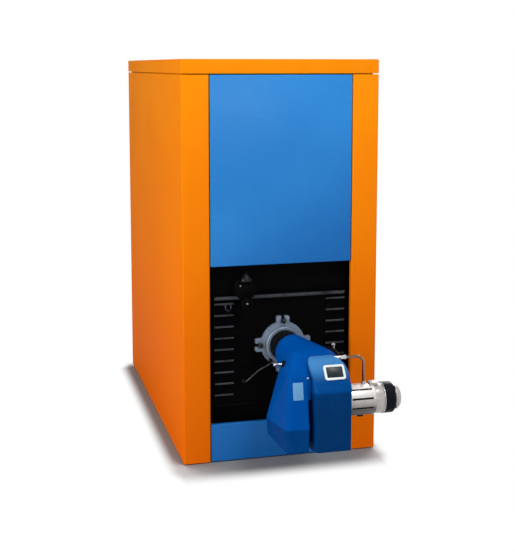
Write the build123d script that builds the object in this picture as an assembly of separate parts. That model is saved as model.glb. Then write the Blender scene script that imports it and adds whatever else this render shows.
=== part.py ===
from build123d import *
import os
from math import copysign, cos, radians, sin

# Frame: millimetres, X to the right, Y towards the back, Z up.
# The origin is the middle of the casing's footprint on the floor, the front faces -Y.

# Folded sheet casing
casing_width = 750.0
casing_depth = 1400.0
casing_height = 1500.0
sheet = 2.0
bend_radius = 6.0
lip_bend_radius = 2.0
floor_gap = 4.0
return_width = 102.0
fold_depth = 18.0
lip_width = 14.0
back_return = 32.0
top_flange = 34.0
lid_height = 52.0
lid_joint = 4.0
lid_edge_radius = 5.0
batten_width = 14.0
batten_inset = 12.0
panel_gap = 2.5
panel_edge_radius = 4.0
lower_panel_top = 146.0
door_opening_height = 598.0
rear_panel_margin = 8.0

# Base frame and boiler block
base_height = 70.0
rail_width = 60.0
rail_wall = 6.0
rail_end_gap = 40.0
bar_width = 80.0
bar_height = 46.0
block_side_gap = 62.0
block_top_gap = 70.0
block_back_gap = 48.0
block_edge_radius = 90.0
section_thickness = 30.0
section_side_gap = 66.0
section_top = 800.0

# Ribbed burner door
door_half_width = 256.0
door_bottom = 203.0
door_height = 428.0
door_recess = 20.0
door_plate = 14.0
rib_height = 12.0
rib_inner = 180.0
rib_end_gap = 2.0
rib_root = 12.0
rib_tip = 6.0
rib_count = 9
ledge_radius = 11.0
ledge_gap = 10.0
sill_radius = 6.0
boss_radius = 118.0
boss_height = 8.0

# Sight port above the door
port_x = -143.0
port_rise = 37.0
port_tube_radius = 24.0
port_tube_wall = 5.0
port_reach = 2.0
port_housing_radius = 44.0
port_housing_drop = 6.0
port_housing_thickness = 15.0
port_cover_radius = 36.0
port_cover_thickness = 8.0
port_lug_height = 60.0
port_lug_width = 30.0
port_lug_tip = 10.0
port_edge = 3.0

# Burner mounting flange
burner_x = 8.0
burner_rise = 437.0
flange_radius = 85.0
flange_thickness = 16.0
collar_radius = 70.0
collar_height = 22.0
collar_edge = 4.0
lug_reach = 107.0
lug_width = 50.0
lug_corner_radius = 6.0
slot_width = 14.0
slot_centre = 90.0
nut_across = 19.0
nut_height = 12.0
stud_radius = 6.0
stud_reach = 6.0
running_gap = 0.4

# Blast tube and neck, which opens into a shoulder above the two lobes
tube_radius = 56.0
tube_wall = 4.0
neck_start = 112.0
neck_radius = 65.0
neck_socket = 24.0
shoulder_front = 426.0
shoulder_left = -76.0
shoulder_right = 115.0
shoulder_bottom = 352.0
shoulder_top = 500.0
shoulder_drop = 80.0
station_shares = (0.0, 0.24, 0.50, 0.72, 0.88, 1.0)
left_shares = (0.0, 0.0, 0.25, 0.80, 1.0, 0.90)
right_shares = (0.0, 0.06, 0.74, 1.0, 1.0, 0.90)
drop_shares = (0.0, 0.0, 0.0, 0.06, 0.50, 1.12)
square_share = 0.7
outline_points = 24

# Left lobe: upper part of the housing, and the air box below the crease
lobe_right = -31.0
burner_front = 460.0
box_back = 226.0
box_bottom = 181.0
box_back_left = -116.0
box_front_left = -106.0
box_taper = 4.0
box_toe = 9.0
crease_back = 240.0
crease_front = 266.0
lobe_back_top = 424.0
lobe_front_top = 440.0
lobe_back_top_left = -76.0
lobe_front_top_left = -99.0
lobe_back_lean = 12.0
lobe_front_lean = 30.0
box_corner_radius = 14.0
lobe_corner_radius = 20.0
inner_corner_radius = 3.0
web_back = 240.0
web_front = 400.0
web_bottom = 196.0
grille_margin = 14.0
grille_thickness = 6.0
grille_bar = 7.0
grille_slots = 7

# Hood (right lobe) with its display
hood_left = -15.0
hood_right = 118.0
hood_back = 300.0
hood_bottom = 180.0
hood_top = 487.0
hood_flat_front = 388.0
hood_brow = 392.0
hood_brow_radius = 28.0
hood_crest_radius = 26.0
hood_left_radius = 22.0
hood_top_right_radius = 50.0
hood_front_right_radius = 9.0
display_width = 74.0
display_length = 54.0
display_border = 8.0
display_thickness = 6.0
display_corner = 9.0
display_shift = 15.0
display_place_share = 0.55
screen_inset = 2.0
screen_corner = 4.0

# Nipple on the neck and gas inlet
nipple_place = 285.0
nipple_rise = 446.0
nipple_base_radius = 8.0
nipple_base_length = 8.0
nipple_radius = 4.5
nipple_length = 28.0
nipple_head_radius = 6.0
nipple_head_length = 9.0
inlet_place = 232.0
inlet_rise = 459.0
inlet_radius = 27.0
inlet_bore = 19.5
inlet_bore_depth = 30.0
inlet_arm = 127.0
inlet_bend = 34.0
inlet_flange = 64.0
inlet_flange_thickness = 14.0
inlet_drop = 70.0
inlet_nipple_x = 125.0
inlet_nipple_radius = 5.0
inlet_nipple_height = 3.0
inlet_knob_radius = 7.0

# Motor
motor_place = 360.0
motor_rise = 324.0
motor_radius = 54.0
motor_flange_radius = 59.0
motor_flange_thickness = 8.0
motor_body_length = 98.0
motor_slots = 10
motor_slot_turn = 0.0
motor_slot_width = 7.0
motor_slot_depth = 5.0
motor_slot_margin = 10.0
shield_length = 34.0
shield_step = 2.0
cowl_length = 42.0
cowl_edge = 7.0
cap_length = 23.0
cap_step = 4.0
cap_edge = 10.0

# Conduit between hood and motor
conduit_radius = 4.5
conduit_rise = 478.0
conduit_x = 193.0
conduit_bend = 27.0
gland_radius = 7.0
gland_length = 10.0
conduit_insert = 8.0

# Pressure line between flange and door
line_radius = 3.0
line_start_angle = 230.0
line_end_x = -141.0
line_end_rise = 300.0
line_lift = 16.0
line_bend = 12.0
fitting_radius = 7.0
fitting_length = 12.0
line_insert = 6.0

# Rear connections
flue_radius = 100.0
flue_wall = 4.0
flue_reach = 90.0
flue_drop = 490.0
flue_root_step = 2.0
flue_bead = 4.0
flue_bead_width = 8.0
flue_bead_place = 4.0
water_x = 190.0
supply_drop = 210.0
return_rise = 320.0
pipe_radius = 38.0
pipe_wall = 3.5
pipe_reach = 96.0
water_flange_radius = 80.0
water_flange_thickness = 14.0
water_pcd = 130.0
water_hole_radius = 7.0
water_holes = 4
drain_rise = 150.0
drain_radius = 13.0
drain_reach = 60.0
drain_cap_radius = 19.0
drain_cap_length = 26.0
rear_hole_gap = 5.0

# Values that follow from the sizes above
half_width = casing_width / 2
front_y = -casing_depth / 2
back_y = casing_depth / 2
skirt_bottom = casing_height - lid_height
panel_top = skirt_bottom - lid_joint
panel_height = panel_top - floor_gap
opening_half = half_width - return_width
upper_panel_bottom = lower_panel_top + door_opening_height
inner_half = half_width - sheet
section_front = front_y + door_recess + rib_height + door_plate
section_back = section_front + section_thickness
door_face = front_y + door_recess + rib_height
boss_face = door_face - boss_height
flange_face = boss_face - flange_thickness
collar_face = flange_face - collar_height
block_back = back_y - block_back_gap
block_half = half_width - block_side_gap
block_top = panel_top - block_top_gap
door_top = door_bottom + door_height
port_z = door_top + port_rise
flue_rise = casing_height - flue_drop
supply_rise = casing_height - supply_drop


def ahead(distance):
    """Y of a plane this far in front of the casing's front."""
    return front_y - distance


def span(x0, x1, y0, y1, z0, z1):
    """Box between two corners."""
    middle = Pos((x0 + x1) / 2, (y0 + y1) / 2, (z0 + z1) / 2)
    return middle * Box(x1 - x0, y1 - y0, z1 - z0)


def rod_x(x0, x1, y, z, radius):
    """Cylinder along X."""
    return Pos((x0 + x1) / 2, y, z) * Rot(0, 90, 0) * Cylinder(radius, x1 - x0)


def rod_y(x, y0, y1, z, radius):
    """Cylinder along Y."""
    return Pos(x, (y0 + y1) / 2, z) * Rot(90, 0, 0) * Cylinder(radius, y1 - y0)


def rod_z(x, y, z0, z1, radius):
    """Cylinder along Z."""
    return Pos(x, y, (z0 + z1) / 2) * Cylinder(radius, z1 - z0)


def side_profile(points):
    """Face in the YZ plane from (distance ahead, height) points."""
    return make_face(Polyline([(0, ahead(v), z) for v, z in points], close=True))


def folded_sheet(outer, inner, outer_radii, inner_radii):
    """Plan of a folded sheet between its outer and inner paths."""
    outside = FilletPolyline(outer, radius=outer_radii)
    inside = FilletPolyline(inner, radius=inner_radii)
    ends = [Line(outer[0], inner[0]), Line(outer[-1], inner[-1])]
    return make_face(outside.edges() + inside.edges() + ends)


def side_panel():
    """Left side panel: back return, side, front return, fold and panel lips."""
    edge_x = -opening_half
    lip_y = front_y + fold_depth
    tight = bend_radius - sheet
    outer = [(-half_width + back_return, back_y),
             (-half_width, back_y),
             (-half_width, front_y),
             (edge_x, front_y),
             (edge_x, lip_y),
             (edge_x + lip_width, lip_y)]
    inner = [(-half_width + back_return, back_y - sheet),
             (-inner_half, back_y - sheet),
             (-inner_half, front_y + sheet),
             (edge_x - sheet, front_y + sheet),
             (edge_x - sheet, lip_y + sheet),
             (edge_x + lip_width, lip_y + sheet)]
    plan = folded_sheet(outer, inner, [bend_radius] * 3 + [lip_bend_radius],
                        [tight] * 3 + [lip_bend_radius + sheet])
    panel = Pos(0, 0, floor_gap) * extrude(plan, panel_height, dir=(0, 0, 1))
    panel += span(-inner_half, -half_width + top_flange, front_y + sheet, back_y - sheet,
                  panel_top - sheet, panel_top)
    panel -= span(edge_x, edge_x + lip_width + sheet, front_y, lip_y + bend_radius,
                  lower_panel_top, upper_panel_bottom)
    return panel


def cover():
    """Top cover: open tray with skirts and two battens that rest on the side panels."""
    back = back_y + sheet
    shell = span(-half_width, half_width, front_y, back, skirt_bottom, casing_height)
    shell = fillet(shell.edges().filter_by(Axis.Z), bend_radius)
    shell = fillet(shell.faces().sort_by(Axis.Z)[-1].edges(), lid_edge_radius)
    shell -= span(-inner_half, inner_half, front_y + sheet, back - sheet,
                  skirt_bottom, casing_height - sheet)
    batten_x = half_width - batten_inset
    for side in (-1, 1):
        ends = sorted((side * batten_x, side * (batten_x - batten_width)))
        shell += span(ends[0], ends[1], front_y + top_flange, back_y - top_flange,
                      panel_top, casing_height - sheet)
    return shell


def tray(bottom, top):
    """Front panel: tray with folded edges that stands on the side panels' lips."""
    half = opening_half - panel_gap
    body = span(-half, half, front_y, front_y + fold_depth, bottom, top)
    body = fillet(body.faces().sort_by(Axis.Y)[0].edges(), panel_edge_radius)
    hollow = span(-half + sheet, half - sheet, front_y + sheet, front_y + fold_depth,
                  bottom + sheet, top - sheet)
    return body - hollow


def base_rail(side):
    """Channel rail under one side of the block, with its web outward."""
    outer = side * inner_half
    inner = side * (inner_half - rail_width)
    web = side * (inner_half - rail_wall)
    y0 = section_front + rail_end_gap
    y1 = back_y - rail_end_gap
    xs = sorted((outer, inner))
    cut = sorted((web, inner))
    rail = span(xs[0], xs[1], y0, y1, 0, base_height)
    return rail - span(cut[0], cut[1], y0, y1, rail_wall, base_height - rail_wall)


def cross_bars():
    """Three flat bars between the rails, with one under the middle."""
    reach = inner_half - rail_width
    travel = casing_depth / 2 - rail_end_gap - bar_width
    bars = [span(-reach, reach, y - bar_width / 2, y + bar_width / 2, 0, bar_height)
            for y in (-travel + fold_depth + section_thickness, 0, travel)]
    return bars


def boiler_block():
    """Closed insulated body with rounded shoulders."""
    block = span(-block_half, block_half, section_back, block_back, base_height, block_top)
    shoulders = block.faces().sort_by(Axis.Z)[-1].edges().filter_by(Axis.Y)
    return fillet(shoulders, block_edge_radius)


def front_section():
    """Cast front section behind the door, bored for the blast tube."""
    half = half_width - section_side_gap
    plate = span(-half, half, section_front, section_back, base_height, section_top)
    bore = rod_y(burner_x, section_front, section_back, burner_rise, tube_radius + running_gap)
    return plate - bore


def burner_door():
    """Ribbed door casting with ledge, sill and burner boss."""
    door = span(-door_half_width, door_half_width, door_face, section_front,
                door_bottom, door_top)
    ledge_y = front_y + door_recess + ledge_radius
    ledge_z = door_top - ledge_radius
    sill_z = door_bottom + sill_radius
    rib_outer = door_half_width - rib_end_gap
    door += rod_x(-rib_outer, rib_outer, ledge_y, ledge_z, ledge_radius)
    door += rod_x(-rib_outer, rib_outer, door_face - sill_radius / 2, sill_z, sill_radius)
    first = ledge_z - ledge_radius - ledge_gap
    pitch = (first - sill_z) / rib_count
    root = rib_root / 2
    tip = rib_tip / 2
    for place in range(rib_count):
        z = first - place * pitch
        outline = Polyline([(0, door_face, z - root), (0, door_face - rib_height, z - tip),
                            (0, door_face - rib_height, z + tip), (0, door_face, z + root)],
                           close=True)
        rib = extrude(make_face(outline), rib_outer - rib_inner, dir=(1, 0, 0))
        door += Pos(rib_inner, 0, 0) * rib
        door += Pos(-rib_outer, 0, 0) * rib
    door += rod_y(burner_x, boss_face, door_face, burner_rise, boss_radius)
    door -= rod_y(burner_x, boss_face, section_front, burner_rise, tube_radius + running_gap)
    return door


def port_tube():
    """Sight tube from the front section to the port housing."""
    outer = rod_y(port_x, ahead(port_reach), section_front, port_z, port_tube_radius)
    bore = rod_y(port_x, ahead(port_reach), section_front, port_z,
                 port_tube_radius - port_tube_wall)
    return outer - bore


def port_housing():
    """Round housing on the sight tube."""
    z = port_z - port_housing_drop
    back = ahead(port_reach)
    front = back - port_housing_thickness
    disc = rod_y(port_x, front, back, z, port_housing_radius)
    return chamfer(disc.edges().group_by(Axis.Y)[0], port_edge)


def port_cover():
    """Cover flap with a pointed hinge lug."""
    z = port_z - port_housing_drop
    back = ahead(port_reach + port_housing_thickness)
    front = back - port_cover_thickness
    half = port_lug_width / 2
    tip = port_lug_tip / 2
    outline = Polyline([(port_x - half, back, z), (port_x + half, back, z),
                        (port_x + tip, back, z + port_lug_height),
                        (port_x - tip, back, z + port_lug_height)], close=True)
    lug = extrude(make_face(outline), port_cover_thickness, dir=(0, -1, 0))
    flap = rod_y(port_x, front, back, z, port_cover_radius) + lug
    return chamfer(flap.faces().sort_by(Axis.Y)[0].edges(), port_edge / 2)


def burner_flange():
    """Cast mounting flange with a collar and four open-slotted lugs."""
    ring = Cylinder(flange_radius, flange_thickness)
    lug = Pos((lug_reach + tube_radius) / 2, 0, 0) * Box(lug_reach - tube_radius, lug_width,
                                                         flange_thickness)
    tips = lug.edges().filter_by(Axis.Z).group_by(Axis.X)[-1]
    lug = fillet(tips, lug_corner_radius)
    slot = Pos((slot_centre + lug_reach) / 2, 0, 0) * Box(lug_reach - slot_centre, slot_width,
                                                          flange_thickness)
    slot += Pos(slot_centre, 0, 0) * Cylinder(slot_width / 2, flange_thickness)
    for turn in range(4):
        ring += Rot(0, 0, turn * 90) * lug
    for turn in range(4):
        ring -= Rot(0, 0, turn * 90) * slot
    collar = Cylinder(collar_radius, collar_height)
    collar = chamfer(collar.edges().group_by(Axis.Z)[-1], collar_edge)
    ring += Pos(0, 0, (flange_thickness + collar_height) / 2) * collar
    depth = flange_thickness + collar_height
    ring -= Pos(0, 0, collar_height / 2) * Cylinder(tube_radius + running_gap, depth)
    return Pos(burner_x, (boss_face + flange_face) / 2, burner_rise) * Rot(90, 0, 0) * ring


def flange_nuts():
    """Hexagon nuts with stud ends on the four lugs."""
    nut = extrude(RegularPolygon(nut_across / 2, 6, major_radius=False), nut_height)
    nut += Pos(0, 0, nut_height + stud_reach / 2) * Cylinder(stud_radius, stud_reach)
    nuts = []
    for turn in range(4):
        angle = radians(turn * 90)
        place = Pos(burner_x + slot_centre * cos(angle), flange_face,
                    burner_rise + slot_centre * sin(angle))
        nuts.append(place * Rot(90, 0, 0) * nut)
    return nuts


def blast_tube():
    """Blast tube through flange, door and front section into the neck."""
    outer_end = ahead(neck_start + neck_socket - running_gap)
    inner_end = section_back - running_gap
    tube = rod_y(burner_x, outer_end, inner_end, burner_rise, tube_radius)
    bore = rod_y(burner_x, outer_end, inner_end, burner_rise, tube_radius - tube_wall)
    return tube - bore


def blend(first, second, share):
    """Value this share of the way from the first to the second."""
    return first + (second - first) * share


def signed_power(value, power):
    """Power of the value's size, with the value's sign."""
    return copysign(abs(value) ** power, value)


def shoulder_outline(station, to_left, to_right, drop):
    """Outline of neck and shoulder: a circle that opens into a soft rectangle.

    The shares say how far along the shoulder it lies, how far it has opened to the left and
    to the right, and how far its top has dropped towards the front.
    """
    opening = (to_left + to_right) / 2
    y = ahead(blend(neck_start, shoulder_front, station))
    left = blend(burner_x - neck_radius, shoulder_left, to_left)
    right = blend(burner_x + neck_radius, shoulder_right, to_right)
    bottom = blend(burner_rise - neck_radius, shoulder_bottom, opening)
    top = blend(burner_rise + neck_radius, shoulder_top, opening) - shoulder_drop * drop
    power = 1 / (1 + square_share * opening)
    points = []
    for place in range(outline_points):
        angle = radians(place * 360 / outline_points)
        points.append(((left + right) / 2 + (right - left) / 2 * signed_power(cos(angle), power),
                       y,
                       (bottom + top) / 2 + (top - bottom) / 2 * signed_power(sin(angle), power)))
    return make_face(Spline(points, periodic=True))


def shoulder():
    """Neck and shoulder: a smooth casting from the blast tube to the two lobes."""
    return loft([shoulder_outline(*shares)
                 for shares in zip(station_shares, left_shares, right_shares, drop_shares)])


def lobe_outline(back, front, radii):
    """Level or tilted outline of the left lobe.

    Back and front each give the left edge, the distance ahead and the height.
    """
    corners = [(back[0], ahead(back[1]), back[2]), (front[0], ahead(front[1]), front[2]),
               (lobe_right, ahead(front[1]), front[2]), (lobe_right, ahead(back[1]), back[2])]
    return make_face(FilletPolyline(corners, radius=radii, close=True))


def crease_outline():
    """Outline where the air box meets the upper lobe."""
    return lobe_outline((box_back_left, box_back, crease_back),
                        (box_front_left, burner_front, crease_front),
                        [box_corner_radius] * 2 + [inner_corner_radius] * 2)


def upper_lobe():
    """Upper left lobe: leans in from the crease to its rounded top."""
    top = lobe_outline((lobe_back_top_left, box_back + lobe_back_lean, lobe_back_top),
                       (lobe_front_top_left, burner_front - lobe_front_lean, lobe_front_top),
                       [box_corner_radius, lobe_corner_radius] + [inner_corner_radius] * 2)
    return loft([crease_outline(), top], ruled=True)


def burner_housing(hood):
    """Cast housing: neck, shoulder, upper left lobe and the web behind the groove."""
    body = shoulder() + upper_lobe()
    body += span(lobe_right, hood_left, ahead(web_front), ahead(web_back), web_bottom,
                 shoulder_bottom + neck_radius)
    body -= hood
    body -= rod_y(burner_x, ahead(neck_start + neck_socket), ahead(neck_start), burner_rise,
                  tube_radius + running_gap)
    return body


def air_box():
    """Air box below the crease, with a toe that leans back and a mouth for the grille."""
    foot = lobe_outline((box_back_left + box_taper, box_back + box_taper, box_bottom),
                        (box_front_left + box_taper, burner_front - box_toe, box_bottom),
                        [box_corner_radius] * 2 + [inner_corner_radius] * 2)
    body = loft([foot, crease_outline()], ruled=True)
    return body - grille_space()


def grille_space():
    """Space of the intake grille in the air box's underside."""
    return span(box_front_left + grille_margin, lobe_right - grille_margin,
                ahead(burner_front - 2 * grille_margin), ahead(box_back + grille_margin),
                box_bottom, box_bottom + grille_thickness)


def intake_grille():
    """Grille in the air box's underside, with a row of slots."""
    plate = grille_space()
    box = plate.bounding_box()
    pitch = (box.size.Y - grille_bar) / grille_slots
    for place in range(grille_slots):
        start = box.min.Y + grille_bar + place * pitch
        plate -= span(box.min.X + grille_bar, box.max.X - grille_bar, start,
                      start + pitch - grille_bar, box_bottom, box_bottom + grille_thickness)
    return plate


def burner_hood():
    """Hood: the shape that front view, side view and plan have in common."""
    width = hood_right - hood_left
    depth = burner_front - hood_back
    side = side_profile([(hood_back, hood_bottom), (burner_front, hood_bottom),
                         (burner_front, hood_brow), (hood_flat_front, hood_top),
                         (hood_back, hood_top)])
    body = Pos(hood_left, 0, 0) * extrude(side, width, dir=(1, 0, 0))
    level = body.edges().filter_by(Axis.X).group_by(Axis.Y)
    body = fillet(level[0].sort_by(Axis.Z)[-1], hood_brow_radius)
    crest = body.edges().filter_by(Axis.X).sort_by(Axis.Z)[-2:].sort_by(Axis.Y)[0]
    body = fillet(crest, hood_crest_radius)
    left_face = body.faces().sort_by(Axis.X)[0]
    rim = left_face.edges() - left_face.edges().group_by(Axis.Z)[0]
    rim = rim - rim.group_by(Axis.Y)[-1]
    body = fillet(rim, hood_left_radius)
    middle = Pos((hood_left + hood_right) / 2, ahead((hood_back + burner_front) / 2),
                 (hood_bottom + hood_top) / 2)
    block = middle * Box(width, depth, hood_top - hood_bottom)
    long_edge = block.edges().filter_by(Axis.Y).group_by(Axis.Z)[-1].sort_by(Axis.X)[-1]
    front_view = fillet(long_edge, hood_top_right_radius)
    upright = block.edges().filter_by(Axis.Z).group_by(Axis.Y)[0].sort_by(Axis.X)[-1]
    plan = fillet(upright, hood_front_right_radius)
    return body & front_view & plan


def display_plane():
    """Plane on the hood's sloped face, with Z outward."""
    rise = hood_top - hood_brow
    run = burner_front - hood_flat_front
    middle_v = blend(burner_front, hood_flat_front, display_place_share)
    middle_z = blend(hood_brow, hood_top, display_place_share)
    centre_x = (hood_left + hood_right) / 2 + display_shift
    return Plane(origin=(centre_x, ahead(middle_v), middle_z), x_dir=(1, 0, 0),
                 z_dir=(0, -rise, run))


def display_frame():
    """Frame around the screen on the hood's sloped face."""
    outline = RectangleRounded(display_width, display_length, display_corner)
    opening = RectangleRounded(display_width - 2 * display_border,
                               display_length - 2 * display_border, screen_corner)
    return display_plane() * extrude(outline - opening, display_thickness)


def display_screen():
    """Blank screen inside the frame."""
    glass = RectangleRounded(display_width - 2 * display_border - running_gap,
                             display_length - 2 * display_border - running_gap, screen_corner)
    return display_plane() * extrude(glass, display_thickness - screen_inset)


def test_nipple(housing):
    """Nipple that stands out level from the housing's left flank."""
    y = ahead(nipple_place)
    flank = burner_x - neck_radius
    stem_start = flank - nipple_base_length - nipple_head_length
    stem_end = stem_start - nipple_length
    nipple = rod_x(stem_start, burner_x, y, nipple_rise, nipple_base_radius)
    nipple += rod_x(stem_end, stem_start, y, nipple_rise, nipple_radius)
    nipple += rod_x(stem_end - nipple_head_length, stem_end, y, nipple_rise, nipple_head_radius)
    return nipple - housing


def gas_inlet(housing):
    """Gas inlet elbow from the housing's right flank, with a square flange below."""
    y = ahead(inlet_place)
    foot = inlet_rise - inlet_drop
    path = FilletPolyline([(burner_x, y, inlet_rise), (inlet_arm, y, inlet_rise),
                           (inlet_arm, y, foot)], radius=inlet_bend)
    disc = Plane(origin=(burner_x, y, inlet_rise), z_dir=(1, 0, 0)) * Circle(inlet_radius)
    elbow = sweep(disc, path=path)
    pad = Pos(inlet_arm, y, foot + inlet_flange_thickness / 2) * Box(
        inlet_flange, inlet_flange, inlet_flange_thickness)
    pad = fillet(pad.edges().filter_by(Axis.Z), inlet_flange_thickness)
    elbow += pad
    elbow -= housing
    elbow -= rod_z(inlet_arm, y, foot, foot + inlet_bore_depth, inlet_bore)
    return elbow


def inlet_nipple(elbow):
    """Small test nipple with a round knob on the elbow's crest."""
    y = ahead(inlet_place)
    crest = inlet_rise + inlet_radius
    top = crest + inlet_nipple_height
    nipple = rod_z(inlet_nipple_x, y, inlet_rise, top, inlet_nipple_radius)
    nipple += Pos(inlet_nipple_x, y, top) * Sphere(inlet_knob_radius)
    return nipple - elbow


def motor_flange():
    """Round flange between hood and motor."""
    return rod_x(hood_right, hood_right + motor_flange_thickness, ahead(motor_place),
                 motor_rise, motor_flange_radius)


def motor_body():
    """Motor body with axial cooling slots."""
    x0 = hood_right + motor_flange_thickness
    length = motor_body_length - 2 * motor_slot_margin
    body = Cylinder(motor_radius, motor_body_length)
    slot = Pos(motor_radius, 0, 0) * Box(2 * motor_slot_depth, motor_slot_width, length)
    for turn in range(motor_slots):
        body -= Rot(0, 0, motor_slot_turn + turn * 360 / motor_slots) * slot
    return Pos(x0 + motor_body_length / 2, ahead(motor_place), motor_rise) * Rot(0, 90, 0) * body


def motor_ring(start, length, radius, edge):
    """Round section of the motor with a bevelled outer edge."""
    ring = Cylinder(radius, length)
    ring = chamfer(ring.edges().group_by(Axis.Z)[-1], edge)
    return Pos(start + length / 2, ahead(motor_place), motor_rise) * Rot(0, 90, 0) * ring


motor_body_start = hood_right + motor_flange_thickness
shield_start = motor_body_start + motor_body_length
cowl_start = shield_start + shield_length
cap_start = cowl_start + cowl_length


def motor_conduit():
    """Rigid conduit from the hood's side to the top of the motor."""
    y = ahead(motor_place)
    top = motor_rise + motor_radius + gland_length - conduit_insert
    start = hood_right + gland_length - conduit_insert
    path = FilletPolyline([(start, y, conduit_rise), (conduit_x, y, conduit_rise),
                           (conduit_x, y, top)], radius=conduit_bend)
    disc = Plane(origin=(start, y, conduit_rise), z_dir=(1, 0, 0)) * Circle(conduit_radius)
    return sweep(disc, path=path)


def conduit_glands(hood):
    """Glands at both ends of the conduit, seated on hood and motor."""
    y = ahead(motor_place)
    bore = conduit_radius + running_gap / 4
    at_hood = rod_x(hood_right - hood_top_right_radius, hood_right + gland_length, y,
                    conduit_rise, gland_radius)
    at_hood -= rod_x(hood_right + gland_length - conduit_insert, hood_right + gland_length, y,
                     conduit_rise, bore)
    crest = motor_rise + motor_radius
    at_motor = rod_z(conduit_x, y, motor_rise, crest + gland_length, gland_radius)
    at_motor -= rod_z(conduit_x, y, crest + gland_length - conduit_insert,
                      crest + gland_length, bore)
    at_motor -= rod_x(motor_body_start, shield_start, y, motor_rise, motor_radius)
    return [at_hood - hood, at_motor]


def line_start():
    """Place of the pressure line's upper fitting on the flange ring."""
    reach = (flange_radius + collar_radius) / 2
    angle = radians(line_start_angle)
    return burner_x + reach * cos(angle), burner_rise + reach * sin(angle)


def pressure_line():
    """Thin pressure line between its two fittings."""
    x, z = line_start()
    upper = flange_face - fitting_length
    lower = door_face - fitting_length
    path = FilletPolyline([(x, upper + line_insert, z), (x, upper - line_lift, z),
                           (line_end_x, lower - line_lift, line_end_rise),
                           (line_end_x, lower + line_insert, line_end_rise)],
                          radius=line_bend)
    disc = Plane(origin=(x, upper + line_insert, z), z_dir=(0, -1, 0)) * Circle(line_radius)
    return sweep(disc, path=path)


def line_fittings():
    """Round fittings of the pressure line on flange and door."""
    x, z = line_start()
    pieces = []
    for place, face, rise in ((x, flange_face, z), (line_end_x, door_face, line_end_rise)):
        end = face - fitting_length
        body = rod_y(place, end, face, rise, fitting_radius)
        pieces.append(body - rod_y(place, end, end + line_insert, rise,
                                   line_radius + running_gap / 4))
    return pieces


def rear_panel():
    """Rear panel on the side panels' back returns, cut for the connections."""
    half = half_width - rear_panel_margin
    plate = span(-half, half, back_y, back_y + sheet, floor_gap, panel_top)
    holes = [(0, flue_rise, flue_radius), (-water_x, supply_rise, pipe_radius),
             (water_x, return_rise, pipe_radius), (0, drain_rise, drain_radius)]
    for x, rise, radius in holes:
        plate -= rod_y(x, back_y, back_y + sheet, rise, radius + rear_hole_gap)
    return plate


def flue_collar():
    """Round flue spigot on the block's back."""
    inside = block_back
    outside = back_y + flue_reach
    bead_start = back_y + flue_bead_place
    bead_end = bead_start + flue_bead_width
    spigot = rod_y(0, inside, bead_start, flue_rise, flue_radius - flue_root_step)
    spigot += rod_y(0, bead_start, bead_end, flue_rise, flue_radius + flue_bead)
    spigot += rod_y(0, bead_end, outside, flue_rise, flue_radius)
    return spigot - rod_y(0, inside, outside, flue_rise, flue_radius - flue_wall)


def water_connection(x, rise):
    """Flanged pipe stub on the block's back."""
    inside = block_back
    outside = back_y + pipe_reach
    stub = rod_y(x, inside, outside, rise, pipe_radius)
    stub += rod_y(x, outside - water_flange_thickness, outside, rise, water_flange_radius)
    stub -= rod_y(x, inside, outside, rise, pipe_radius - pipe_wall)
    for turn in range(water_holes):
        angle = radians((turn + 1 / 2) * 360 / water_holes)
        stub -= rod_y(x + water_pcd / 2 * cos(angle), outside - water_flange_thickness, outside,
                      rise + water_pcd / 2 * sin(angle), water_hole_radius)
    return stub


def drain_cock():
    """Drain stub with a screwed cap."""
    inside = block_back
    outside = back_y + drain_reach
    stub = rod_y(0, inside, outside, drain_rise, drain_radius)
    return stub + rod_y(0, outside, outside + drain_cap_length, drain_rise, drain_cap_radius)


left_panel = side_panel()
hood = burner_hood()
housing = burner_housing(hood)
elbow = gas_inlet(housing)

parts = {
    "base_rail_left": base_rail(-1),
    "base_rail_right": base_rail(1),
    "base_crossbars": cross_bars(),
    "boiler_block": boiler_block(),
    "front_section": front_section(),
    "left_side_panel": left_panel,
    "right_side_panel": mirror(left_panel, about=Plane.YZ),
    "top_cover": cover(),
    "upper_front_panel": tray(upper_panel_bottom, panel_top),
    "lower_front_panel": tray(floor_gap, lower_panel_top),
    "rear_panel": rear_panel(),
    "burner_door": burner_door(),
    "sight_port_tube": port_tube(),
    "sight_port_housing": port_housing(),
    "sight_port_cover": port_cover(),
    "burner_flange": burner_flange(),
    "flange_nuts": flange_nuts(),
    "blast_tube": blast_tube(),
    "burner_housing": housing,
    "air_box": air_box(),
    "intake_grille": intake_grille(),
    "burner_hood": hood,
    "display_frame": display_frame(),
    "display_screen": display_screen(),
    "test_nipple": test_nipple(housing),
    "gas_inlet": elbow,
    "inlet_nipple": inlet_nipple(elbow),
    "motor_flange": motor_flange(),
    "motor_body": motor_body(),
    "motor_end_shield": motor_ring(shield_start, shield_length, motor_radius - shield_step,
                                   shield_step),
    "motor_fan_cowl": motor_ring(cowl_start, cowl_length, motor_radius, cowl_edge),
    "motor_end_cap": motor_ring(cap_start, cap_length, motor_radius - cowl_edge - cap_step,
                                cap_edge),
    "motor_conduit": motor_conduit(),
    "conduit_glands": conduit_glands(hood),
    "pressure_line": pressure_line(),
    "line_fittings": line_fittings(),
    "flue_collar": flue_collar(),
    "supply_connection": water_connection(-water_x, supply_rise),
    "return_connection": water_connection(water_x, return_rise),
    "drain_cock": drain_cock(),
}

os.makedirs("parts", exist_ok=True)
for name, shape in parts.items():
    solids = shape if isinstance(shape, list) else [shape]
    bodies = [solid for piece in solids for solid in piece.solids()]
    export_step(bodies[0] if len(bodies) == 1 else Compound(children=bodies),
                f"parts/{name}.step")
    print(name, len(bodies))
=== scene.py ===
import logging
import math
from contextlib import contextmanager
from dataclasses import dataclass
from enum import Enum
from typing import Callable, Iterable, Iterator, Optional, Sequence

import bmesh
import bpy
from mathutils import Euler, Matrix, Vector


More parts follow.
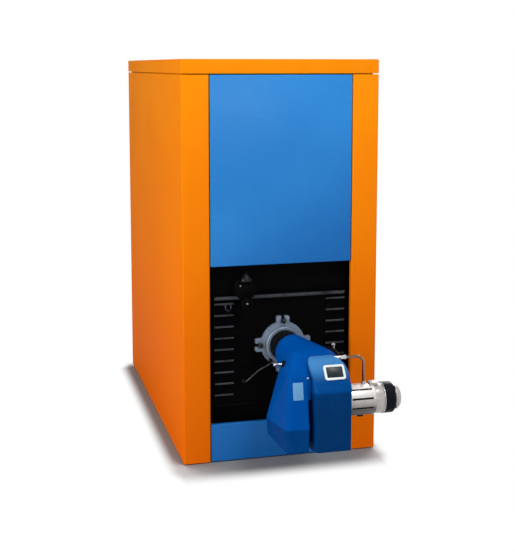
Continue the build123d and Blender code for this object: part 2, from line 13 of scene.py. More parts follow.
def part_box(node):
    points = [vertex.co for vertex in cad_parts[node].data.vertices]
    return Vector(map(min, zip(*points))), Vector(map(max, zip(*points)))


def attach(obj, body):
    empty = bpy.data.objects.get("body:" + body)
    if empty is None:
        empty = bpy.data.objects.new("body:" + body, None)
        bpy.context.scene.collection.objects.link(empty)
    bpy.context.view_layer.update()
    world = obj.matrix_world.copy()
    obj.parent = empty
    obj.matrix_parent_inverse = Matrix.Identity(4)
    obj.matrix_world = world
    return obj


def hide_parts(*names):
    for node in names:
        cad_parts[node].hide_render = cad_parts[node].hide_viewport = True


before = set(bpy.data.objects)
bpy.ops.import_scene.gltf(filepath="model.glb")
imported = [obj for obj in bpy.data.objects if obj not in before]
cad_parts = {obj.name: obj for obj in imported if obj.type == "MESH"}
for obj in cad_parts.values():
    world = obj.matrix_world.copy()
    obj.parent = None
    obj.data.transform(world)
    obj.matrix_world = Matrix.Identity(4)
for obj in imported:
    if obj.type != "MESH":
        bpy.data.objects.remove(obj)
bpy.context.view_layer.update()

LOG = logging.getLogger("boiler")
BODY = "root"
MM = 0.001
UP = Vector((0.0, 0.0, 1.0))
FRONT = Vector((0.0, -1.0, 0.0))
BACK = Vector((0.0, 1.0, 0.0))
LEFT = Vector((-1.0, 0.0, 0.0))
RIGHT = Vector((1.0, 0.0, 0.0))
WHITE = (1.0, 1.0, 1.0)

Piece = bpy.types.Object
Socket = bpy.types.NodeSocket
Colour = tuple[float, float, float]
Place = tuple[Vector, Vector]
Profile = Sequence[tuple[float, float]]


def srgb(red: int, green: int, blue: int) -> Colour:
    """Turn a colour as seen on a screen, 0 to 255, into linear light."""
    shares = [channel / 255.0 for channel in (red, green, blue)]
    return tuple(share / 12.92 if share <= 0.04045 else ((share + 0.055) / 1.055) ** 2.4
                 for share in shares)


class Value:
    """A shader socket that takes part in arithmetic."""

    def __init__(self, graph: "Graph", socket: Socket) -> None:
        """Wrap one output socket of a graph."""
        self.graph = graph
        self.socket = socket

    def _math(self, operation: str, first: object, second: object) -> "Value":
        """Add a Math node and return its result."""
        made = self.graph.node("ShaderNodeMath", {"operation": operation}, {0: first, 1: second})
        return Value(self.graph, made.outputs[0])

    def __add__(self, other: object) -> "Value":
        """Sum of this value and another."""
        return self._math("ADD", self, other)

    __radd__ = __add__

    def __sub__(self, other: object) -> "Value":
        """This value less another."""
        return self._math("SUBTRACT", self, other)

    def __rsub__(self, other: object) -> "Value":
        """Another value less this one."""
        return self._math("SUBTRACT", other, self)

    def __neg__(self) -> "Value":
        """This value with its sign changed."""
        return self._math("SUBTRACT", 0.0, self)

    def __mul__(self, other: object) -> "Value":
        """Product of this value and another."""
        return self._math("MULTIPLY", self, other)

    __rmul__ = __mul__

    def beyond(self, half: float) -> "Value":
        """How far this value's size lies beyond a half width, and 0 inside it."""
        over = self._math("ABSOLUTE", self, 0.0) - half
        return self._math("MAXIMUM", over, 0.0)

    def power(self, exponent: float) -> "Value":
        """This value raised to a power."""
        return self._math("POWER", self, exponent)

    def swing(self, size: float) -> "Value":
        """A noise around a half, turned to a swing of this size around 0."""
        return (self - 0.5) * size

    def stretched(self, low: float, high: float) -> "Value":
        """This value with the range low to high stretched to 0 to 1, with soft ends."""
        made = self.graph.node("ShaderNodeMapRange", {"interpolation_type": "SMOOTHSTEP"},
                               {"Value": self, "From Min": low, "From Max": high})
        return Value(self.graph, made.outputs["Result"])


class Graph:
    """Node tree of a material or a world."""

    def __init__(self, owner: bpy.types.ID) -> None:
        """Start with an empty tree in a new material or world.

        Args:
            owner: the material or world.
        """
        self.owner = owner
        owner.use_nodes = True
        self.tree = owner.node_tree
        self.tree.nodes.clear()

    def node(self, kind: str, settings: Optional[dict] = None,
             sockets: Optional[dict] = None) -> bpy.types.Node:
        """Add a node, set its settings, then fill or link its sockets.

        Args:
            kind: Blender's node type.
            settings: attributes of the node.
            sockets: values, Values or sockets by input name or number.

        Returns:
            The new node.
        """
        made = self.tree.nodes.new(kind)
        for key, value in (settings or {}).items():
            setattr(made, key, value)
        for key, value in (sockets or {}).items():
            target = made.inputs[key]
            if isinstance(value, Value):
                self.tree.links.new(value.socket, target)
            elif isinstance(value, Socket):
                self.tree.links.new(value, target)
            elif target.type == "RGBA" and len(value) == 3:
                target.default_value = (*value, 1.0)
            else:
                target.default_value = value
        return made

    def along(self, axis: str) -> Value:
        """Place of the shaded point along X, Y or Z, in metres."""
        place = self.node("ShaderNodeTexCoord").outputs["Object"]
        return Value(self, self.node("ShaderNodeSeparateXYZ", {}, {0: place}).outputs[axis])

    def noise(self, size: float, detail: float = 2.0, rough: float = 0.5,
              stretch: Sequence[float] = (1.0, 1.0, 1.0)) -> Value:
        """Noise with features of about one size.

        Args:
            size: size of the features in metres.
            detail: number of finer layers.
            rough: weight of the finer layers.
            stretch: scale of the pattern along X, Y and Z.

        Returns:
            The noise, around a half.
        """
        place = self.node("ShaderNodeTexCoord").outputs["Object"]
        mapped = self.node("ShaderNodeMapping", {}, {"Vector": place, "Scale": tuple(stretch)})
        made = self.node("ShaderNodeTexNoise", {}, {
            "Vector": mapped.outputs["Vector"], "Scale": 1.0 / size, "Detail": detail,
            "Roughness": rough})
        return Value(self, made.outputs["Fac"])

    def mix(self, share: object, first: object, second: object) -> Socket:
        """Mix two colours by a share of the second."""
        made = self.node("ShaderNodeMix", {"data_type": "RGBA"}, {0: share, 6: first, 7: second})
        return made.outputs[2]

    def bump(self, height: Value, depth: float) -> Socket:
        """Normal bent by a height of 0 to 1 that is this deep in metres."""
        made = self.node("ShaderNodeBump", {}, {"Distance": depth, "Height": height})
        return made.outputs["Normal"]

    def shader(self, colour: object, roughness: object, metal: float, gloss: float,
               normal: Socket) -> bpy.types.ID:
        """Close the tree with one surface.

        Args:
            colour: base colour.
            roughness: roughness, a Value or a number.
            metal: 1 for bare metal.
            gloss: specular level of a surface that isn't metal.
            normal: bent normal.

        Returns:
            The finished material.
        """
        made = self.node("ShaderNodeBsdfPrincipled", {}, {
            "Base Color": colour, "Roughness": roughness, "Metallic": metal,
            "Specular IOR Level": gloss, "Normal": normal})
        self.node("ShaderNodeOutputMaterial", {}, {"Surface": made.outputs[0]})
        return self.owner

    def sees_backdrop(self) -> Value:
        """1 for rays that show the backdrop: camera, mirror and glass rays."""
        path = self.node("ShaderNodeLightPath")
        return (Value(self, path.outputs["Is Camera Ray"])
                + Value(self, path.outputs["Is Glossy Ray"])
                + Value(self, path.outputs["Is Transmission Ray"])).stretched(0.0, 1.0)


@dataclass(frozen=True)
class PowderCoat:
    """Satin powder coat on sheet metal with an orange-peel surface, paler higher up by painted
    light.
    """

    name: str
    colour: Colour
    pale: Colour
    deep: Colour
    roughness: float = 0.40
    gloss: float = 0.22
    # Painted light: from low to high it turns to the pale tone, paler further left by the slant.
    low: float = 0.0
    high: float = 1.5
    painted_light_slant: float = 0.0
    cloud_size: float = 0.55
    cloud_range: Sequence[float] = (0.3, 0.72)
    cloud_share: float = 0.4
    dust_size: float = 0.06
    dust_height: float = 0.3
    dust_share: float = 0.2
    dust_roughness: float = 0.1
    smear_size: float = 0.09
    smear_roughness: float = 0.10
    peel: float = 2.2 * MM
    peel_depth: float = 0.05 * MM

    def make(self) -> bpy.types.Material:
        """Build the coat.

        Returns:
            The finished material.
        """
        graph = Graph(bpy.data.materials.new(self.name))
        cloud = graph.noise(self.cloud_size, detail=3.0).stretched(*self.cloud_range)
        foot = (self.dust_height - graph.along("Z")).stretched(0.0, self.dust_height)
        dust = foot * graph.noise(self.dust_size, detail=4.0, rough=0.6)
        # Painted light: paler higher up, and with a slant also further left.
        height = graph.along("Z") - graph.along("X") * self.painted_light_slant
        painted_light_tone = graph.mix(height.stretched(self.low, self.high), self.colour, self.pale)
        colour = graph.mix(cloud * self.cloud_share + dust * self.dust_share, painted_light_tone, self.deep)
        smear = graph.noise(self.smear_size).swing(self.smear_roughness)
        rough = self.roughness + smear + dust * self.dust_roughness
        normal = graph.bump(graph.noise(self.peel, detail=1.0), self.peel_depth)
        return graph.shader(colour, rough, 0.0, self.gloss, normal)


@dataclass(frozen=True)
class CastPaint:
    """Paint on a casting: rough skin, paler where it stands up, with bands of painted light
    higher up.
    """

    name: str
    colour: Colour
    pale: Colour
    roughness: float = 0.55
    gloss: float = 0.3
    metal: float = 0.0
    skin: float = 4.0 * MM
    skin_depth: float = 0.25 * MM
    skin_share: float = 0.6
    cloud_size: float = 0.12
    cloud_roughness: float = 0.22
    worn_range: Sequence[float] = (0.46, 0.66)
    painted_light_bands: Sequence[tuple[Colour, float, float]] = ()

    def make(self) -> bpy.types.Material:
        """Build the paint.

        Returns:
            The finished material.
        """
        graph = Graph(bpy.data.materials.new(self.name))
        skin = graph.noise(self.skin, detail=4.0, rough=0.6)
        cloud = graph.noise(self.cloud_size, detail=3.0)
        worn = skin * self.skin_share + cloud * (1.0 - self.skin_share)
        colour = graph.mix(worn.stretched(*self.worn_range), self.colour, self.pale)
        # Bands of painted light: each turns the colour lighter from one height to another.
        for crown, low, high in self.painted_light_bands:
            colour = graph.mix(graph.along("Z").stretched(low, high), colour, crown)
        rough = self.roughness + cloud.swing(self.cloud_roughness)
        normal = graph.bump(skin, self.skin_depth)
        return graph.shader(colour, rough, self.metal, self.gloss, normal)


@dataclass(frozen=True)
class BareMetal:
    """Plated or machined metal with fine turning lines along one axis."""

    name: str
    colour: Colour
    dull: Colour
    roughness: float = 0.26
    gloss: float = 0.5
    lines: Sequence[float] = (12.0, 1.0, 1.0)
    line_size: float = 12.0 * MM
    line_depth: float = 0.03 * MM
    line_roughness: float = 0.15
    cloud_size: float = 30.0 * MM
    cloud_range: Sequence[float] = (0.35, 0.7)
    cloud_roughness: float = 0.25

    def make(self) -> bpy.types.Material:
        """Build the metal.

        Returns:
            The finished material.
        """
        graph = Graph(bpy.data.materials.new(self.name))
        lines = graph.noise(self.line_size, detail=3.0, rough=0.7, stretch=self.lines)
        cloud = graph.noise(self.cloud_size, detail=3.0)
        colour = graph.mix(cloud.stretched(*self.cloud_range), self.colour, self.dull)
        rough = (self.roughness + cloud.swing(self.cloud_roughness)
                 + lines.swing(self.line_roughness))
        return graph.shader(colour, rough, 1.0, self.gloss, graph.bump(lines, self.line_depth))


@dataclass(frozen=True)
class Moulded:
    """Moulded plastic, rubber or fibre with a fine grain."""

    name: str
    colour: Colour
    tint: Colour
    roughness: float = 0.45
    gloss: float = 0.4
    grain: float = 0.9 * MM
    grain_depth: float = 0.04 * MM
    grain_roughness: float = 0.12
    cloud_size: float = 40.0 * MM
    cloud_range: Sequence[float] = (0.3, 0.7)

    def make(self) -> bpy.types.Material:
        """Build the plastic.

        Returns:
            The finished material.
        """
        graph = Graph(bpy.data.materials.new(self.name))
        grain = graph.noise(self.grain)
        cloud = graph.noise(self.cloud_size).stretched(*self.cloud_range)
        colour = graph.mix(cloud, self.colour, self.tint)
        rough = self.roughness + grain.swing(self.grain_roughness)
        return graph.shader(colour, rough, 0.0, self.gloss, graph.bump(grain, self.grain_depth))


@dataclass(frozen=True)
class RibHighlightCast:
    """Black paint on a casting, with a painted grey highlight where its ribs stand proud."""

    name: str
    colour: Colour
    painted_highlight: Colour
    highlight_from: float
    highlight_to: float
    roughness: float = 0.45
    gloss: float = 0.10
    skin: float = 3.5 * MM
    skin_depth: float = 0.2 * MM
    skin_share: float = 0.35
    cloud_size: float = 70.0 * MM
    cloud_roughness: float = 0.2
    patch_range: Sequence[float] = (0.36, 0.60)
    least_highlight: float = 0.35
    front_polish: float = 0.08

    def make(self) -> bpy.types.Material:
        """Build the paint.

        Returns:
            The finished material.
        """
        graph = Graph(bpy.data.materials.new(self.name))
        skin = graph.noise(self.skin, detail=4.0, rough=0.6)
        cloud = graph.noise(self.cloud_size, detail=3.0)
        # Painted highlight: the fronts of the ribs turn grey in patches, and a little smoother.
        highlight_mask = (-graph.along("Y")).stretched(-self.highlight_from, -self.highlight_to)
        patches = skin * self.skin_share + cloud * (1.0 - self.skin_share)
        highlight_share = self.least_highlight + patches.stretched(*self.patch_range) * (1.0 - self.least_highlight)
        colour = graph.mix(highlight_mask * highlight_share, self.colour, self.painted_highlight)
        rough = self.roughness + cloud.swing(self.cloud_roughness) - highlight_mask * self.front_polish
        return graph.shader(colour, rough, 0.0, self.gloss, graph.bump(skin, self.skin_depth))


@dataclass(frozen=True)
class SlottedAlloy:
    """Light motor alloy with a painted highlight above, and painted shade underneath and in its
    rougher slots.
    """

    name: str
    colour: Colour
    dull: Colour
    painted_top_highlight: Colour
    painted_underside_shade: Colour
    slot_shade: Colour
    axis_y: float
    axis_z: float
    radius: float
    slot_depth: float = 2.0 * MM
    slot_roughness: float = 0.4
    roughness: float = 0.34
    shine: float = 0.5
    gloss: float = 0.45
    top_highlight_range: Sequence[float] = (0.1, 0.8)
    underside_shade_range: Sequence[float] = (-0.2, 0.6)
    cloud_size: float = 50.0 * MM
    cloud_range: Sequence[float] = (0.3, 0.7)
    cloud_roughness: float = 0.2
    skin: float = 3.0 * MM
    skin_depth: float = 0.06 * MM

    def make(self) -> bpy.types.Material:
        """Build the alloy.

        Returns:
            The finished material.
        """
        graph = Graph(bpy.data.materials.new(self.name))
        cloud = graph.noise(self.cloud_size, detail=3.0)
        skin = graph.noise(self.skin, detail=3.0, rough=0.6)
        reach = ((graph.along("Y") - self.axis_y).power(2.0)
                 + (graph.along("Z") - self.axis_z).power(2.0)).power(0.5)
        sunk = (-reach).stretched(-self.radius, -(self.radius - self.slot_depth))
        height = graph.along("Z") - self.axis_z
        # Painted highlight above the axis and painted shade below it.
        over = height.stretched(*(share * self.radius for share in self.top_highlight_range))
        shade_below = (-height).stretched(*(share * self.radius for share in self.underside_shade_range))
        metal = graph.mix(cloud.stretched(*self.cloud_range), self.colour, self.dull)
        metal = graph.mix(shade_below, graph.mix(over, metal, self.painted_top_highlight), self.painted_underside_shade)
        # Painted shade in the slots.
        colour = graph.mix(sunk, metal, self.slot_shade)
        rough = self.roughness + cloud.swing(self.cloud_roughness) + sunk * self.slot_roughness
        normal = graph.bump(skin, self.skin_depth)
        return graph.shader(colour, rough, self.shine, self.gloss, normal)


class Finish(Enum):
    """Finishes of the boiler's pieces."""

    # The orange and the blue panels are paler higher up by painted light, the panels with a
    # painted sheen further left.
    ORANGE = PowderCoat("orange_powder_coat", srgb(234, 107, 9), srgb(238, 137, 13),
                        srgb(226, 110, 8), roughness=0.50, gloss=0.002)
    PANEL_BLUE = PowderCoat("blue_powder_coat", srgb(22, 100, 172), srgb(44, 128, 200),
                            srgb(20, 102, 176), roughness=0.27, gloss=0.14, low=0.60, high=1.08,
                            painted_light_slant=0.6)
    BURNER_BLUE = CastPaint("burner_blue_paint", srgb(0, 72, 150), srgb(2, 78, 157),
                            roughness=0.36, gloss=0.008, skin=7.0 * MM, skin_depth=0.06 * MM)
    # A darker copy of the burner's blue: painted shade on the air box below the crease.
    BOX_BLUE = CastPaint("air_box_blue_paint", srgb(0, 57, 117), srgb(6, 64, 126),
                         roughness=0.42, gloss=0.01, skin=5.0 * MM, skin_depth=0.10 * MM)
    # The hood's bands are painted light: a lighter blue on its lit slope, then a painted
    # highlight.
    HOOD_BLUE = CastPaint("hood_blue_paint", srgb(0, 50, 101), srgb(1, 55, 108),
                          roughness=0.24, gloss=0.025, skin=7.0 * MM, skin_depth=0.04 * MM,
                          painted_light_bands=((srgb(1, 68, 134), 0.378, 0.391),
                                  (srgb(62, 126, 184), 0.414, 0.468)))
    # The door's grey is a painted highlight on the fronts of its ribs.
    DOOR_BLACK = RibHighlightCast("door_black_paint", srgb(5, 5, 6), srgb(66, 69, 74),
                          highlight_from=-0.6768, highlight_to=-0.6795, gloss=0.015)
    PORT_BLACK = CastPaint("port_black_paint", srgb(5, 5, 6), srgb(12, 12, 14),
                           roughness=0.34, gloss=0.02, skin=3.0 * MM, skin_depth=0.15 * MM)
    TUBE_BLACK = CastPaint("tube_black_paint", srgb(7, 7, 8), srgb(13, 13, 15),
                           roughness=0.5, gloss=0.06, skin=3.0 * MM, skin_depth=0.1 * MM)
    BASE_BLACK = CastPaint("base_black_primer", srgb(30, 30, 32), srgb(44, 44, 46), gloss=0.2)
    CAST_GREY = CastPaint("grey_cast_alloy", srgb(104, 118, 136), srgb(132, 144, 158),
                          roughness=0.42, gloss=0.3, metal=0.3, skin=3.0 * MM,
                          skin_depth=0.2 * MM)
    STEEL = BareMetal("plated_steel", srgb(205, 206, 208), srgb(176, 178, 182))
    LINE_STEEL = BareMetal("dull_line_steel", srgb(70, 71, 74), srgb(48, 49, 52),
                           roughness=0.40)
    CAP_STEEL = BareMetal("dark_cap_steel", srgb(44, 45, 48), srgb(30, 31, 33),
                          roughness=0.40)
    # The conduit's brownish tint is a painted reflection of the orange casing.
    CHROME = BareMetal("conduit_chrome", srgb(128, 112, 100), srgb(88, 72, 62),
                       roughness=0.12, line_depth=0.01 * MM)
    # The motor's pale top is a painted highlight; its dark underside and slots are painted
    # shade.
    MOTOR_BODY = SlottedAlloy("slotted_motor_alloy", srgb(186, 181, 178), srgb(168, 163, 160),
                              painted_top_highlight=srgb(240, 235, 231), painted_underside_shade=srgb(74, 73, 70),
                              slot_shade=srgb(26, 25, 26), axis_y=-1.060, axis_z=0.324,
                              radius=0.0535)
    MOTOR_GREY = CastPaint("light_motor_alloy", srgb(180, 175, 171), srgb(150, 146, 141),
                           roughness=0.36, gloss=0.35, metal=0.3, skin=3.0 * MM,
                           skin_depth=0.08 * MM)
    BLACK_PLASTIC = Moulded("black_moulding", srgb(12, 15, 21), srgb(18, 22, 29),
                            roughness=0.34, gloss=0.04)
    RUBBER = Moulded("black_rubber", srgb(10, 10, 11), srgb(18, 18, 19), roughness=0.6,
                     gloss=0.04)
    WHITE_PLASTIC = Moulded("white_moulding", srgb(228, 231, 234), srgb(218, 222, 226),
                            roughness=0.32)
    SCREEN = Moulded("dark_screen", srgb(17, 24, 30), srgb(34, 45, 52), roughness=0.32,
                     gloss=0.18, grain_depth=0.0)
    BARE_PLATE = PowderCoat("bare_rating_plate", srgb(100, 152, 198), srgb(100, 152, 198),
                            srgb(82, 134, 182), roughness=0.35, gloss=0.2)
    FLUE_STEEL = BareMetal("galvanised_sheet", srgb(150, 152, 155), srgb(120, 123, 127),
                           roughness=0.42)
    JACKET = Moulded("insulation_jacket", srgb(150, 150, 147), srgb(120, 120, 118),
                     roughness=0.8, gloss=0.1)
    BRASS = BareMetal("plain_brass", srgb(190, 150, 82), srgb(150, 116, 60), roughness=0.35)

    def material(self) -> bpy.types.Material:
        """The finish's material, made on first use."""
        return bpy.data.materials.get(self.value.name) or self.value.make()


class Element(Enum):
    """Elements of a mesh that can be picked, with the list that holds them."""

    FACE = "faces"
    EDGE = "edges"


class Bench:
    """Hand tools: each works on one object and leaves it in object mode."""

    WELD = 0.01 * MM
    FLAT_DEGREES = 0.2
    SHARP_DEGREES = 38.0
    SMOOTH_DEGREES = 32.0
    CORNER_STEPS = 4
    EDGE_STEPS = 2
    FACING_UP = 0.9
    RING_SIDES = 48
    RING_WIRE_SIDES = 16
    RING_CREST = 0.95
    RING_WEAR = 0.12
    RING_DEGREES = 60.0
    SOFTENING = 0.5

    @staticmethod
    def clear() -> None:
        """Deselect everything."""
        bpy.ops.object.select_all(action="DESELECT")

    @staticmethod
    def take(*pieces: Piece) -> Piece:
        """Select pieces and nothing else, and make the first one active.

        Args:
            pieces: the pieces.

        Returns:
            The active piece.
        """
        Bench.clear()
        for piece in pieces:
            piece.select_set(True)
        bpy.context.view_layer.objects.active = pieces[0]
        return pieces[0]

    @staticmethod
    def joined(pieces: Sequence[Piece]) -> Piece:
        """Join pieces into the first one.

        Args:
            pieces: one piece or more.

        Returns:
            The first piece, selected and active.
        """
        Bench.take(*pieces)
        if len(pieces) > 1:
            bpy.ops.object.join()
        return pieces[0]

    @staticmethod
    @contextmanager
    def editing(piece: Piece) -> Iterator[None]:
        """Keep a piece in edit mode for a while, at first with all of it selected.

        Args:
            piece: mesh to edit.

        Returns:
            A context that ends in object mode.
        """
        Bench.take(piece)
        bpy.ops.object.mode_set(mode="EDIT")
        bpy.ops.mesh.select_all(action="SELECT")
        yield
        bpy.ops.object.mode_set(mode="OBJECT")

    @staticmethod
    def pick(piece: Piece, kind: Element,
             wanted: Callable[[bmesh.types.BMFace | bmesh.types.BMEdge], bool]) -> None:
        """Select some faces or edges in edit mode, and nothing else.

        Args:
            piece: mesh in edit mode.
            kind: what is picked.
            wanted: test of one face or edge.
        """
        bpy.ops.mesh.select_all(action="DESELECT")
        bpy.ops.mesh.select_mode(type=kind.name)
        mesh = bmesh.from_edit_mesh(piece.data)
        for element in getattr(mesh, kind.value):
            if wanted(element):
                element.select_set(True)
        bmesh.update_edit_mesh(piece.data)

    @staticmethod
    def smooth(piece: Piece, degrees: float = SMOOTH_DEGREES) -> Piece:
        """Shade smooth except across sharp edges.

        Args:
            piece: mesh to shade.
            degrees: edges sharper than this stay sharp.

        Returns:
            The same piece.
        """
        Bench.take(piece)
        bpy.ops.object.shade_smooth_by_angle(angle=math.radians(degrees))
        return piece

    @staticmethod
    def round_edges(piece: Piece, width: float, segments: int) -> Piece:
        """Round the sharp edges with an applied Bevel.

        Args:
            piece: mesh to work on.
            width: width of the rounding in metres.
            segments: steps across the rounding.

        Returns:
            The same piece.
        """
        Bench.take(piece)
        bevel = piece.modifiers.new("rounded_edges", "BEVEL")
        bevel.width = width
        bevel.segments = segments
        bevel.limit_method = "ANGLE"
        bevel.angle_limit = math.radians(Bench.SHARP_DEGREES)
        bevel.use_clamp_overlap = True
        bpy.ops.object.modifier_apply(modifier=bevel.name)
        return piece

    @staticmethod
    def copied(node: str) -> Piece:
        """Copy a CAD node and weld its loose triangles into faces.

        Args:
            node: name of the CAD node.

        Returns:
            The copy.
        """
        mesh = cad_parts[node].data.copy()
        piece = bpy.data.objects.new(f"{node}_finished", mesh)
        bpy.context.scene.collection.objects.link(piece)
        mesh.materials.clear()
        Bench.take(piece)
        if mesh.has_custom_normals:
            bpy.ops.mesh.customdata_custom_splitnormals_clear()
        with Bench.editing(piece):
            bpy.ops.mesh.remove_doubles(threshold=Bench.WELD)
            bpy.ops.mesh.dissolve_limited(angle_limit=math.radians(Bench.FLAT_DEGREES))
        return piece

    @staticmethod
    def named(name: str) -> Piece:
        """Name the active object and its mesh.

        Args:
            name: the new name.

        Returns:
            The active object.
        """
        piece = bpy.context.object
        piece.name = name
        piece.data.name = name
        return piece

    @staticmethod
    def turned(name: str, profile: Profile, radius: float, sides: int,
               unit: float = MM) -> Piece:
        """Turn a piece on its Z axis: a disc, extruded and resized step by step.

        Args:
            name: name of the piece.
            profile: share of the radius and height of each step, from the bottom.
            radius: radius of a step whose share is 1, in metres.
            sides: corners around the axis, 6 for a hexagon.
            unit: what a height of 1 stands for, in metres.

        Returns:
            The turned piece, standing on the origin.
        """
        steps = [(share * radius, height * unit) for share, height in profile]
        across, level = steps[0]
        Bench.clear()
        bpy.ops.mesh.primitive_circle_add(vertices=sides, radius=across, fill_type="NGON",
                                          location=(0.0, 0.0, level))
        piece = Bench.named(name)
        bpy.ops.object.transform_apply(location=True, rotation=True, scale=True)
        with Bench.editing(piece):
            for next_across, next_level in steps[1:]:
                bpy.ops.mesh.extrude_region_move(
                    TRANSFORM_OT_translate={"value": (0.0, 0.0, next_level - level)})
                share = next_across / across
                bpy.ops.transform.resize(value=(share, share, 1.0))
                across, level = next_across, next_level
            bpy.ops.mesh.select_all(action="SELECT")
            bpy.ops.mesh.normals_make_consistent(inside=False)
        return piece

    @staticmethod
    def block(name: str, size: Sequence[float], corner: float, edge: float) -> Piece:
        """Make a flat block whose upright corners and top edges are rounded.

        Args:
            name: name of the piece.
            size: width, depth and thickness in metres.
            corner: radius of the upright corners.
            edge: width of the rounding of the top edges.

        Returns:
            The block, standing on the origin.
        """
        half = size[2] / 2.0
        Bench.clear()
        bpy.ops.mesh.primitive_cube_add(size=1.0, location=(0.0, 0.0, half), scale=tuple(size))
        piece = Bench.named(name)
        bpy.ops.object.transform_apply(location=True, rotation=True, scale=True)
        with Bench.editing(piece):
            Bench.pick(piece, Element.EDGE,
                       lambda line: abs(line.verts[0].co.z - line.verts[1].co.z) > half)
            bpy.ops.mesh.bevel(offset=corner, segments=Bench.CORNER_STEPS, affect="EDGES")
            Bench.pick(piece, Element.FACE, lambda face: face.normal.z > Bench.FACING_UP)
            bpy.ops.mesh.region_to_loop()
            bpy.ops.mesh.bevel(offset=edge, segments=Bench.EDGE_STEPS, affect="EDGES")
        return piece

    @staticmethod
    def placed(piece: Piece, place: Vector, facing: Vector) -> Piece:
        """Move a piece from the origin to a place, with its Z along a direction.

        Args:
            piece: piece that stands on the origin.
            place: where its foot goes.
            facing: direction of its axis.

        Returns:
            The same piece, with its place in its mesh.
        """
        Bench.take(piece)
        turn = facing.to_track_quat("Z", "Y").to_matrix().to_4x4()
        piece.matrix_world = Matrix.Translation(place) @ turn
        bpy.ops.object.transform_apply(location=True, rotation=True, scale=True)
        return piece

    @staticmethod
    def repeated(piece: Piece, places: Iterable[Place]) -> Piece:
        """Copy a piece to several places and join the copies.

        Args:
            piece: piece that stands on the origin; it is used up.
            places: foot and direction of each copy.

        Returns:
            One object with all the copies, under the piece's name.
        """
        name = piece.name
        copies = []
        for foot, facing in places:
            Bench.take(piece)
            bpy.ops.object.duplicate(linked=False)
            copies.append(Bench.placed(bpy.context.object, foot, facing))
        bpy.data.objects.remove(piece)
        Bench.joined(copies)
        return Bench.named(name)

    @staticmethod
    def seat(piece: Piece, start: Vector, way: Vector) -> Place:
        """Place where a straight line first meets a piece.

        Args:
            piece: finished mesh with its place in its mesh.
            start: start of the line.
            way: direction of the line.

        Returns:
            The meeting point and the surface's normal there.
        """
        met, place, normal, _ = piece.ray_cast(start, way)
        if not met:
            raise ValueError(f"nothing of {piece.name} lies in the way from {tuple(start)}")
        return place.copy(), normal.copy()

    @staticmethod
    def ring(name: str, radius: float, wire: float, flat: float = 1.0) -> Piece:
        """Make a round ring on the Z axis, flattened along it and a little worn on top.

        Args:
            name: name of the piece.
            radius: radius of the ring's middle line.
            wire: radius of its section.
            flat: share of the section's height that is kept.

        Returns:
            The ring, around the origin.
        """
        Bench.clear()
        bpy.ops.mesh.primitive_torus_add(major_radius=radius, minor_radius=wire,
                                         major_segments=Bench.RING_SIDES,
                                         minor_segments=Bench.RING_WIRE_SIDES)
        piece = Bench.named(name)
        with Bench.editing(piece):
            bpy.ops.transform.resize(value=(1.0, 1.0, flat))
            Bench.pick(piece, Element.FACE, lambda face: face.normal.z > Bench.RING_CREST)
            bpy.ops.transform.translate(value=(0.0, 0.0, -wire * flat * Bench.RING_WEAR))
        return Bench.smooth(piece, Bench.RING_DEGREES)

    @staticmethod
    def cut(piece: Piece, place: Vector, away: Vector) -> Piece:
        """Cut a solid by a plane and close the cut.

        Args:
            piece: closed mesh.
            place: a point on the plane.
            away: direction of the side that is cut off.

        Returns:
            The same piece, without that side.
        """
        with Bench.editing(piece):
            bpy.ops.mesh.bisect(plane_co=place, plane_no=away, use_fill=True, clear_outer=True)
        return piece

    @staticmethod
    def hull(piece: Piece) -> Piece:
        """Stretch a skin over a piece, so that its hollows are filled.

        Args:
            piece: closed mesh.

        Returns:
            The same piece, with no hollows.
        """
        with Bench.editing(piece):
            bpy.ops.mesh.convex_hull()
            bpy.ops.mesh.select_all(action="SELECT")
            bpy.ops.mesh.normals_make_consistent(inside=False)
        return piece

    @staticmethod
    def fused(pieces: Sequence[Piece], cell: float, rounds: int) -> Piece:
        """Fuse solids into one casting with soft inside and outside corners.

        Args:
            pieces: closed solids that touch.
            cell: size of the new mesh's faces in metres.
            rounds: rounds of smoothing.

        Returns:
            The casting, in place of the first piece.
        """
        piece = Bench.joined(pieces)
        remesh = piece.modifiers.new("casting_skin", "REMESH")
        remesh.mode = "VOXEL"
        remesh.voxel_size = cell
        bpy.ops.object.modifier_apply(modifier=remesh.name)
        soften = piece.modifiers.new("casting_radii", "SMOOTH")
        soften.factor = Bench.SOFTENING
        soften.iterations = rounds
        bpy.ops.object.modifier_apply(modifier=soften.name)
        bpy.ops.object.shade_smooth()
        return piece


def dress(piece: Piece, finish: Finish, slot: str, *nodes: str) -> Piece:
    """Give a piece its finish and its place in the frame.

    Args:
        piece: finished mesh.
        finish: its finish.
        slot: not used.
        nodes: CAD nodes that it stands for.

    Returns:
        The same piece.
    """
    piece.data.materials.clear()
    piece.data.materials.append(finish.material())
    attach(piece, BODY)
    if nodes:
        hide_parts(*nodes)
    LOG.info("piece %s: %d faces", piece.name, len(piece.data.polygons))
    return piece


def refine(finish: Finish, slot: str, edge: float, *nodes: str, segments: int = 2) -> None:
    """Copy CAD nodes, round their edges, and dress each copy in its node's place.

    Args:
        finish: finish of the copies.
        slot: not used.
        edge: width of the rounding in metres, or 0 for none.
        nodes: names of the CAD nodes.
        segments: steps across the rounding.
    """
    for node in nodes:
        piece = Bench.copied(node)
        if edge > 0:
            Bench.round_edges(piece, edge, segments)
        dress(Bench.smooth(piece), finish, slot, node)


def corners(node: str) -> tuple[Vector, Vector]:
    """Low and high corner of a CAD node's box, in metres."""
    low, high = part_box(node)
    return Vector(low), Vector(high)


def centre(node: str) -> Vector:
    """Middle of a CAD node's box, in metres."""
    low, high = corners(node)
    return (low + high) / 2.0


